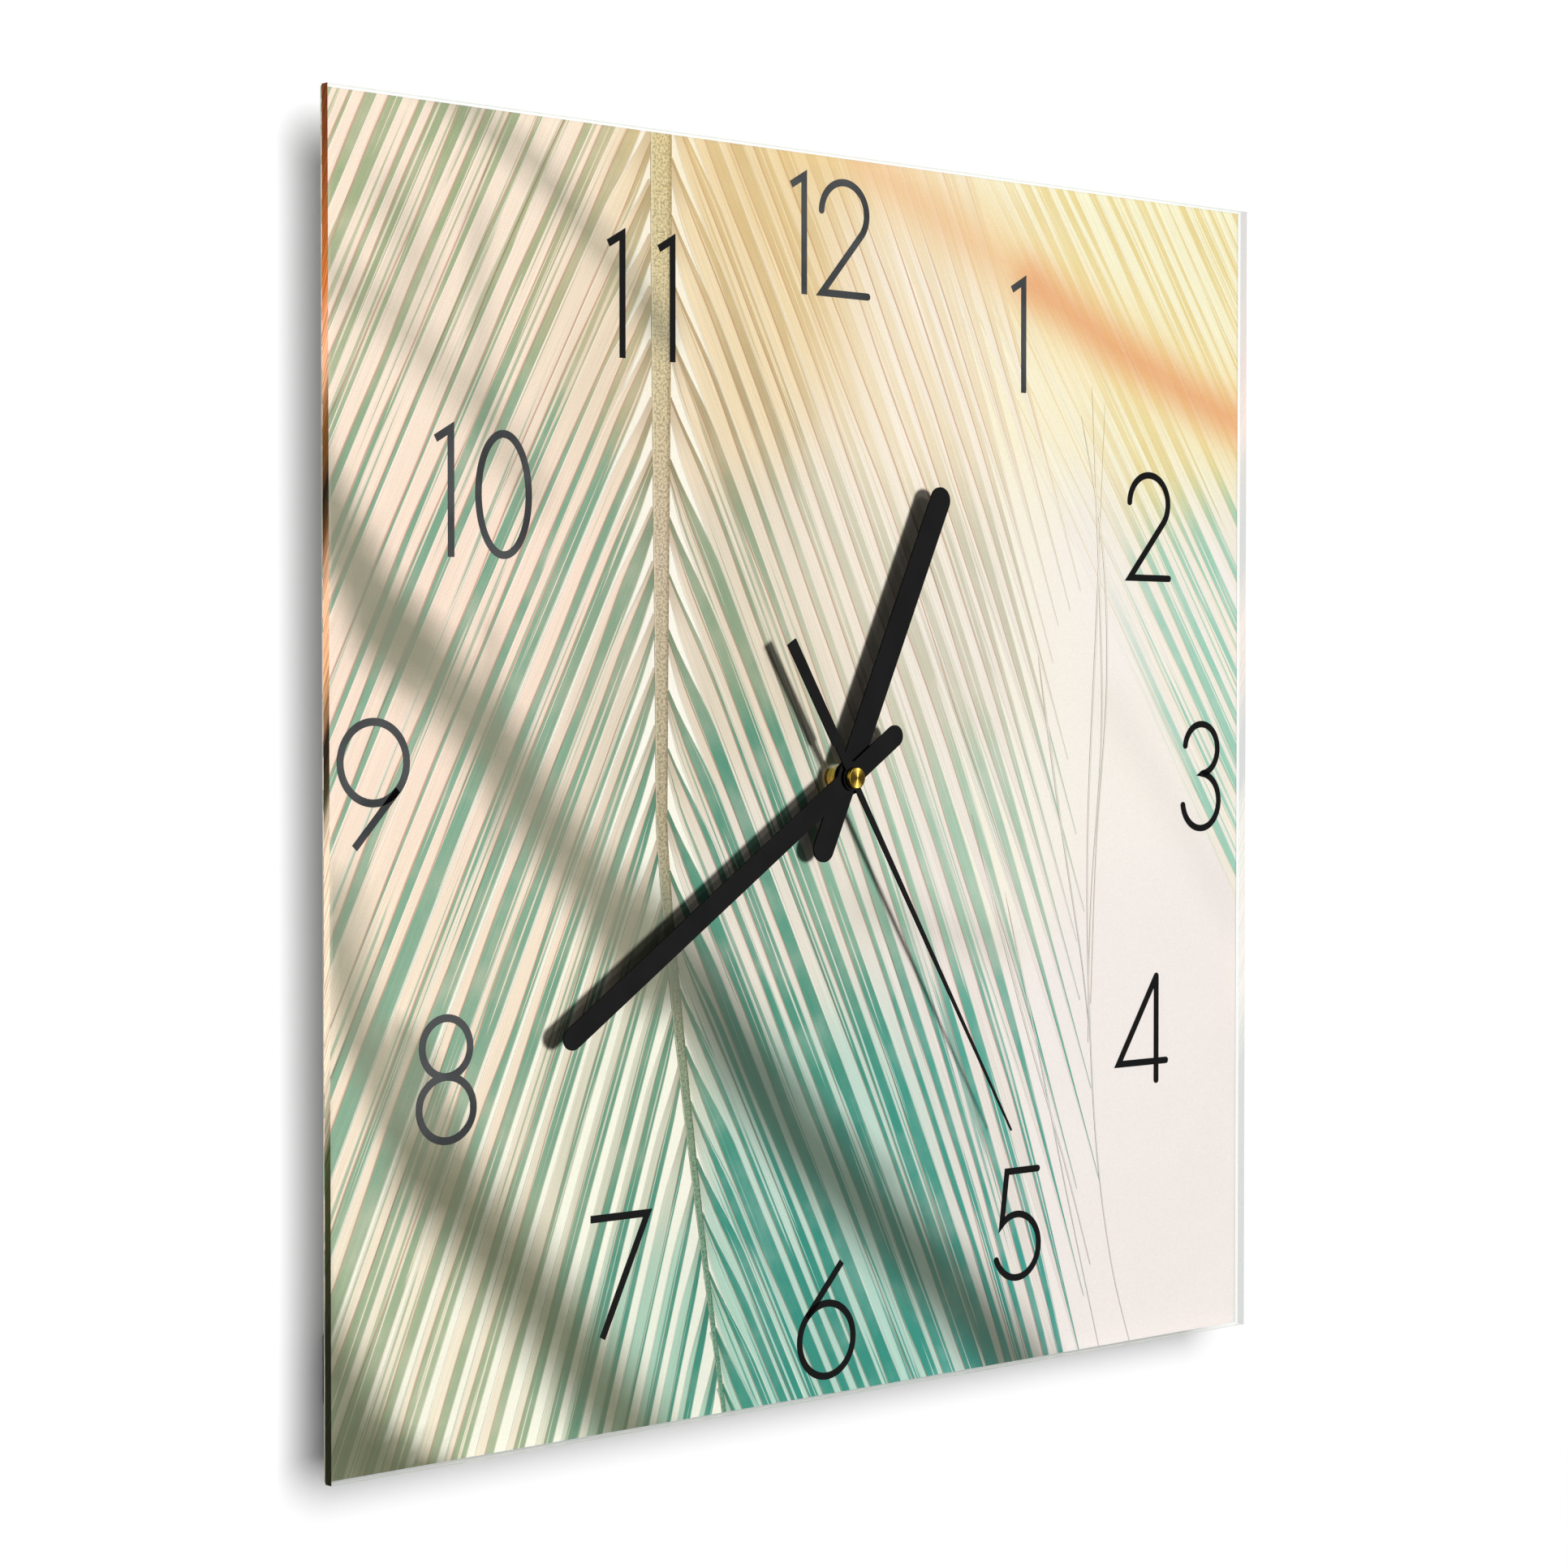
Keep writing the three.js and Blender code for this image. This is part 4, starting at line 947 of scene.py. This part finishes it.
leaf_material = leaf_shader("print_leaf_ink", linear(196, 140, 116), 0.75)
far_leaf_material = leaf_shader("print_far_leaf_ink", linear(232, 206, 150), 0.5)
add_ground()
add_far_leaves(far_leaf_material)
add_left_leaves(leaf_material)
add_right_leaves(leaf_material)
add_rib()
add_strands(leaf_material)
numeral_ink = ink_shader()
for numeral, (strokes, painted_glare) in NUMERALS.items():
    add_numeral(numeral, strokes, painted_glare, numeral_ink)


# ---------- glass

def glass_shader():
    """Clear polished glass: broad faces show what is behind, cut edges glow with a painted reflection of the
    picture.
    """
    shader = Shader("clear_glass")
    normal = shader.node("TexCoord").outputs["Normal"]
    normal_x, normal_y, normal_z = shader.split(normal)
    broad = shader.step(0.55, 0.75, shader.math("ABSOLUTE", normal_y))

    # Painted reflection: the left cut edge is painted in slanting streaks of the picture's colours, standing
    # in for the print seen through the edge.
    _, place_y, place_z = shader.place_mm()
    slanted = shader.plus(place_z, shader.times(place_y, 2.4))
    slide = shader.noise(shader.join(shader.times(slanted, 0.06)), 1.0, 2.0)
    height = shader.plus(slanted, shader.times(shader.minus(slide, 0.5), 18.0))
    left_tone = shader.ramp(
        shader.step(-200.0, 105.0, height),
        [
            (0.04, (26, 28, 12)),
            (0.16, (66, 70, 36)),
            (0.22, (232, 214, 188)),
            (0.44, (240, 214, 184)),
            (0.50, (66, 60, 38)),
            (0.56, (40, 26, 12)),
            (0.62, (214, 158, 108)),
            (0.70, (250, 190, 150)),
            (0.76, (96, 62, 24)),
            (0.80, (26, 18, 10)),
            (0.86, (120, 72, 26)),
            (0.90, (246, 182, 140)),
            (0.95, (200, 110, 48)),
            (1.0, (104, 52, 20)),
        ],
    )
    fine = shader.noise(shader.join(shader.times(slanted, 0.55)), 1.0, 3.0, 0.7)
    fine_step = shader.step(0.40, 0.60, fine, 0.62, 1.12)
    left_tone = shader.shaded(left_tone, fine_step)
    # Painted light: the other cut edges are painted pale, mint below and cream above, as if light ran through
    # the glass.
    painted_pale_edge_light = shader.mix(shader.step(-0.3, 0.3, normal_z), linear(214, 232, 218), linear(250, 246, 236))
    on_left = shader.step(0.5, 0.8, shader.times(normal_x, -1.0))
    edge_tone = shader.mix(on_left, painted_pale_edge_light, left_tone)

    scratches = shader.noise(shader.place((1, 1, 40)), 900.0, 2.0)
    ripple = shader.node("Bump", {"Height": scratches, "Strength": 0.05, "Distance": 0.00005})
    # Painted glow: the cut edges emit their painted tones, so that they look lit without a lamp.
    painted_edge_glow_look = {
        "Base Color": edge_tone,
        "Roughness": 0.16,
        "Emission Color": edge_tone,
        "Emission Strength": 0.5,
        "Normal": ripple.outputs[0],
    }
    edge = shader.node("BsdfPrincipled", painted_edge_glow_look).outputs[0]
    shader.tree.nodes.remove(shader.surface)

    through = shader.node("BsdfTransparent", {"Color": (0.985, 0.995, 0.988, 1)}).outputs[0]
    smear = shader.noise(shader.place(), 22.0, 3.0)
    gloss_look = {"Roughness": shader.step(0.4, 0.7, smear, 0.012, 0.035)}
    gloss = shader.node("BsdfGlossy", gloss_look).outputs[0]
    mirrored = shader.node("Fresnel", {"IOR": 1.5}).outputs[0]

    # Light that leaves the glass isn't mirrored again, and an edge seen from inside is mostly clear.
    inside = shader.node("NewGeometry").outputs["Backfacing"]
    pane = shader.mix_surfaces(shader.times(mirrored, shader.minus(1.0, inside)), through, gloss)
    veil = shader.mix_surfaces(shader.times(inside, 0.72), edge, through)
    shader.put(shader.output.inputs["Surface"], shader.mix_surfaces(broad, veil, pane))
    return shader.material


dress(["glass_panel"], glass_shader())


# ---------- hands and hub

def hand_shader():
    """Matt black paint on thin metal."""
    shader = Shader("matt_black_paint", roughness=0.8, specular_ior_level=0.1)
    orange_peel = shader.noise(shader.place(), 1400.0, 2.0, 0.6)
    cloud = shader.noise(shader.place(), 120.0, 2.0)
    shader.set("Base Color", shader.mix(cloud, linear(15, 15, 15), linear(23, 23, 23)))
    shader.set("Roughness", shader.step(0.3, 0.7, cloud, 0.66, 0.82))
    shader.bump(orange_peel, 0.16, 0.00003)
    return shader.material


def brass_shader(name, turned):
    """Brass from the lathe: fine rings on the flat face, as deep as turned says."""
    shader = Shader(name, roughness=0.30, metallic=1.0, anisotropic=0.85)
    x, _, z = shader.place_mm()
    radius = shader.math("SQRT", shader.plus(shader.times(x, x), shader.times(z, z)))
    rings = shader.noise(shader.join(shader.times(radius, 9.0)), 1.0, 3.0, 0.7)
    tarnish = shader.noise(shader.place(), 500.0, 3.0)
    tone = shader.mix(rings, linear(168, 132, 38), linear(226, 192, 92))
    tone = shader.mix(shader.step(0.45, 0.8, tarnish, 0.0, 0.5), tone, linear(140, 104, 36))
    shader.set("Base Color", tone)
    shader.set("Roughness", shader.step(0.3, 0.7, rings, 0.22, 0.36))
    shader.bump(rings, 0.12 * turned, 0.00002)
    tangent = shader.node("Tangent", direction_type="RADIAL", axis="Y")
    shader.set("Tangent", tangent.outputs[0])
    return shader.material


dress(["hour_hand", "minute_hand", "second_hand"], hand_shader())
dress(["hand_cap", "centre_bush"], brass_shader("turned_brass", 1.0))
dress(["cannon_pinion", "hour_wheel"], brass_shader("plain_brass", 0.5))
soften(["hour_hand", "minute_hand"], 0.08)


# ---------- the back

def film_shader():
    """The white backing of the print, with faint streaks from the squeegee."""
    shader = Shader("film_backing", roughness=0.55)
    streaks = shader.noise(shader.place((1, 1, 0.06)), 160.0, 3.0, 0.6)
    cloud = shader.noise(shader.place(), 18.0, 3.0)
    tone = shader.mix(streaks, linear(226, 227, 224), linear(240, 240, 237))
    tone = shader.mix(shader.step(0.4, 0.7, cloud, 0.0, 0.35), tone, linear(214, 216, 212))
    shader.set("Base Color", tone)
    shader.set("Roughness", shader.step(0.3, 0.7, streaks, 0.48, 0.62))
    shader.bump(shader.noise(shader.place(), 1200.0, 2.0), 0.1, 0.00003)
    return shader.material


def moulded_shader(name, low, high, rough, grain_size):
    """Injection-moulded plastic with a spark-eroded grain; low and high are tones in 0 to 255."""
    low, high = linear(*low), linear(*high)
    shader = Shader(name, roughness=rough)
    grain = shader.noise(shader.place(), grain_size, 3.0, 0.65)
    wear = shader.noise(shader.place(), 60.0, 4.0, 0.6)
    tone = shader.mix(shader.step(0.35, 0.7, wear), low, high)
    shader.set("Base Color", tone)
    shader.set("Roughness", shader.step(0.3, 0.75, wear, rough - 0.07, rough + 0.10))
    shader.bump(grain, 0.28, 0.00006)
    return shader.material


def foam_shader():
    """Closed-cell foam: pits and a dull surface."""
    shader = Shader("black_foam", roughness=0.92, sheen_weight=0.15)
    cells = shader.node("TexVoronoi", {"Vector": shader.place(), "Scale": 1500.0}, feature="F1")
    dust = shader.noise(shader.place(), 240.0, 3.0)
    shader.set("Base Color", shader.mix(dust, linear(30, 30, 31), linear(58, 58, 60)))
    shader.bump(cells.outputs["Distance"], 0.6, 0.0002)
    return shader.material


def steel_shader(name, low, high, rough, stretch):
    """Plated steel sheet with rolling marks; the dull plating takes some diffuse light."""
    low, high = linear(*low), linear(*high)
    shader = Shader(name, roughness=rough, metallic=0.6)
    rolled = shader.noise(shader.place(stretch), 700.0, 3.0, 0.6)
    patches = shader.noise(shader.place(), 130.0, 3.0, 0.55)
    tone = shader.mix(rolled, low, high)
    tone = shader.mix(shader.step(0.5, 0.75, patches, 0.0, 0.45), tone, linear(150, 148, 142))
    shader.set("Base Color", tone)
    shader.set("Roughness", shader.step(0.3, 0.7, rolled, rough - 0.08, rough + 0.12))
    shader.bump(rolled, 0.12, 0.00003)
    return shader.material


def battery_shader():
    """A cell with a dark sleeve, a copper-coloured shoulder band and bare steel ends."""
    shader = Shader("cell_sleeve", roughness=0.3)
    left, right = (corner.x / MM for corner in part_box("battery"))
    shoulder = right - 15
    x = shader.place_mm()[0]
    scuffs = shader.noise(shader.place((0.3, 1, 1)), 420.0, 3.0, 0.6)
    sleeve = shader.mix(shader.step(0.35, 0.7, scuffs), linear(36, 38, 42), linear(52, 54, 60))
    band = shader.mix(scuffs, linear(176, 104, 58), linear(206, 132, 78))
    tone = shader.mix(shader.step(shoulder - 0.1, shoulder + 0.1, x), sleeve, band)
    line_start = shader.step(shoulder - 2.2, shoulder - 2.1, x)
    line_end = shader.step(shoulder - 1.3, shoulder - 1.4, x)
    tone = shader.mix(shader.times(line_start, line_end), tone, linear(214, 206, 190))
    bare_nub = shader.step(right - 1.32, right - 1.28, x)
    bare_base = shader.step(left + 0.36, left + 0.32, x)
    bare = shader.math("MAXIMUM", bare_nub, bare_base)
    tone = shader.mix(bare, tone, linear(196, 196, 194))
    shader.set("Base Color", tone)
    shiny_band = shader.step(shoulder - 0.1, shoulder + 0.1, x, 0.0, 0.7)
    shader.set("Metallic", shader.math("MAXIMUM", bare, shiny_band))
    shader.set("Roughness", shader.step(0.35, 0.7, scuffs, 0.24, 0.40))
    shader.bump(scuffs, 0.06, 0.00005)
    return shader.material


def winding_shader():
    """Enamelled copper wire, laid in close turns along X."""
    shader = Shader("copper_wire", roughness=0.3, metallic=1.0)
    wave = {"Vector": shader.place(), "Scale": 2600.0, "Distortion": 0.4}
    turns = shader.node("TexWave", wave, wave_type="BANDS", bands_direction="X")
    shader.set("Base Color", shader.mix(turns.outputs[0], linear(110, 46, 20), linear(206, 112, 62)))
    shader.bump(turns.outputs[0], 0.6, 0.00008)
    return shader.material


def board_shader():
    """Green solder mask over copper tracks."""
    shader = Shader("circuit_board_mask", roughness=0.35)
    bricks = {
        "Vector": shader.place(),
        "Scale": 420.0,
        "Color1": linear(30, 84, 48),
        "Color2": linear(40, 104, 60),
        "Mortar": linear(20, 62, 36),
    }
    shader.set("Base Color", shader.node("TexBrick", bricks).outputs[0])
    shader.bump(shader.noise(shader.place(), 900.0, 2.0), 0.15, 0.00003)
    return shader.material


CASE = ["case_front", "rear_cover"]
SPACERS = ["wall_spacer_left", "wall_spacer_right"]
SCREWS = ["cover_screw_left", "cover_screw_right"]
PLAIN_PLASTIC = ["middle_plate", "intermediate_wheel", "third_wheel", "setting_wheel", "coil_bobbin"]
AMBER_PLASTIC = ["second_wheel", "centre_wheel"]
CONTACTS = ["battery_contact_positive", "battery_contact_negative"]
NICKEL = [*CONTACTS, "quartz_crystal", "coil_core", "stator_plate"]
LENGTHWAYS = (1, 1, 0.05)
SHEET_GRAIN = (1, 1, 0.1)
NO_GRAIN = (1, 1, 1)

dress(["print_film"], film_shader())
dress(CASE, moulded_shader("black_case", (24, 24, 26), (40, 40, 43), 0.5, 1900.0))
dress(["setting_knob"], moulded_shader("black_knob", (34, 34, 36), (54, 54, 57), 0.42, 1500.0))
dress(PLAIN_PLASTIC, moulded_shader("natural_plastic", (222, 219, 208), (238, 236, 228), 0.42, 900.0))
dress(AMBER_PLASTIC, moulded_shader("amber_plastic", (188, 142, 52), (214, 170, 76), 0.36, 900.0))
dress(["timer_chip"], moulded_shader("black_resin", (10, 10, 11), (22, 22, 24), 0.3, 300.0))
dress(["mounting_pad", *SPACERS], foam_shader())
dress(["hanger"], steel_shader("zinc_plate", (168, 170, 172), (206, 208, 210), 0.36, LENGTHWAYS))
dress(SCREWS, steel_shader("screw_steel", (150, 152, 156), (200, 202, 206), 0.3, NO_GRAIN))
dress(NICKEL, steel_shader("nickel_plate", (178, 176, 168), (214, 212, 204), 0.28, SHEET_GRAIN))
dress(["rotor"], steel_shader("sintered_magnet", (60, 60, 64), (96, 96, 100), 0.5, NO_GRAIN))
dress(["battery"], battery_shader())
dress(["coil_winding"], winding_shader())
dress(["circuit_board"], board_shader())
soften(CASE, 0.25)
soften(["hanger", *SPACERS], 0.15)


# ---------- room, lights and camera

def stage_shader(name, one_sided, low, high):
    """Matt paint. A one-sided wall shows only from the room it faces."""
    shader = Shader(name, roughness=0.9, specular_ior_level=0.1)
    rolled = shader.noise(shader.place(), 6.0, 4.0)
    shader.set("Base Color", shader.mix(rolled, (low, low, low, 1), (high, high, high, 1)))
    if one_sided:
        through = shader.node("BsdfTransparent").outputs[0]
        behind = shader.node("NewGeometry").outputs["Backfacing"]
        seen = shader.mix_surfaces(behind, shader.surface.outputs[0], through)
        shader.put(shader.output.inputs["Surface"], seen)
    return shader.material


def add_plane(name, corners, material):
    """A flat piece of the room, which isn't part of the clock."""
    data = bpy.data.meshes.new(name)
    data.from_pydata(corners, [], [(0, 1, 2, 3)])
    data.materials.append(material)
    made = bpy.data.objects.new(name, data)
    bpy.context.scene.collection.objects.link(made)
    return made


# The room, in metres. The wall stands just behind the clock's rearmost face.
WALL_Y = 0.0004
FLOOR_Z = -0.62
ROOM = 4.0
wall = add_plane(
    "wall",
    [(-ROOM, WALL_Y, FLOOR_Z), (ROOM, WALL_Y, FLOOR_Z), (ROOM, WALL_Y, ROOM), (-ROOM, WALL_Y, ROOM)],
    stage_shader("wall_paint", True, 0.300, 0.306),
)
floor = add_plane(
    "floor",
    [(-ROOM, -ROOM, FLOOR_Z), (ROOM, -ROOM, FLOOR_Z), (ROOM, ROOM, FLOOR_Z), (-ROOM, ROOM, FLOOR_Z)],
    stage_shader("floor_paint", False, 0.915, 0.93),
)
# The room keeps out of the glass's reflections; the wall throws no shadow and the floor no light on the
# clock.
wall.visible_shadow = False
wall.visible_glossy = False
floor.visible_glossy = False
floor.visible_diffuse = False


def lit_together(name, things):
    """A collection that a lamp can be kept to."""
    made = bpy.data.collections.new(name)
    for thing in things:
        made.objects.link(thing)
    return made


pane = nodes["glass_panel"]
meshes = [thing for thing in bpy.context.scene.objects if thing.type == "MESH"]
wall_things = lit_together("wall_things", [wall])
floor_things = lit_together("floor_things", [floor])
clock_things = lit_together("clock_things", [thing for thing in meshes if thing not in (wall, floor, pane)])
pane_things = lit_together("pane_things", [pane])
hub_things = lit_together("hub_things", [nodes["hand_cap"]])


def add_sun(name, share, right, above, softness, receivers):
    """A broad, even lamp; share 1 lights white to white.

    right and above say where it stands, in degrees from straight in front, and softness how wide it is.
    """
    lamp = bpy.data.lights.new(name, "SUN")
    lamp.energy = share * math.pi
    lamp.angle = math.radians(softness)
    made = bpy.data.objects.new(name, lamp)
    aside, up = math.radians(right), math.radians(above)
    towards = Vector((-math.sin(aside) * math.cos(up), math.cos(aside) * math.cos(up), -math.sin(up)))
    made.rotation_euler = towards.to_track_quat("-Z", "Y").to_euler()
    bpy.context.scene.collection.objects.link(made)
    made.light_linking.receiver_collection = receivers


# Name, share, degrees right, degrees above, softness, and the only things it lights.
add_sun("key_light", 0.97, 10, 2, 10, clock_things)
add_sun("second_light", 0.05, 14, 24, 5, clock_things)
add_sun("edge_light", 0.40, -80, 12, 60, pane_things)
add_sun("back_light", 0.60, 160, 34, 30, clock_things)
add_sun("wall_light", 3.62, -17, 15, 46, wall_things)
add_sun("hub_light", 0.12, 66, 1, 14, hub_things)
add_sun("floor_light", 0.95, 0, 70, 40, floor_things)

ROOM_LIGHT = 0.09
BACKDROP = (0.93, 0.93, 0.93, 1)
world = bpy.data.worlds.new("soft_room")
bpy.context.scene.world = world
world.use_nodes = True
sky = world.node_tree
sky.nodes.clear()
room_light = sky.nodes.new("ShaderNodeBackground")
room_light.inputs["Color"].default_value = (1, 1, 1, 1)
room_light.inputs["Strength"].default_value = ROOM_LIGHT
backdrop = sky.nodes.new("ShaderNodeBackground")
backdrop.inputs["Color"].default_value = BACKDROP
rays = sky.nodes.new("ShaderNodeLightPath")
either = sky.nodes.new("ShaderNodeMixShader")
sky_output = sky.nodes.new("ShaderNodeOutputWorld")
sky.links.new(rays.outputs["Is Camera Ray"], either.inputs[0])
sky.links.new(room_light.outputs[0], either.inputs[1])
sky.links.new(backdrop.outputs[0], either.inputs[2])
sky.links.new(either.outputs[0], sky_output.inputs["Surface"])

bpy.context.scene.view_settings.view_transform = "Standard"

# The camera, in metres: to the left of the clock and a little above its centre.
CAMERA_PLACE = (-0.5977, -0.6541, 0.0179)
CAMERA_AIM = Vector((0.6743, 0.7381, -0.0223))
camera_data = bpy.data.cameras.new("camera")
camera_data.sensor_width = 36
camera_data.lens = 82.8
camera_data.clip_start = 0.01
camera_data.clip_end = 20
camera = bpy.data.objects.new("camera", camera_data)
bpy.context.scene.collection.objects.link(camera)
camera.location = CAMERA_PLACE
camera.rotation_euler = CAMERA_AIM.to_track_quat("-Z", "Y").to_euler()
bpy.context.scene.camera = camera
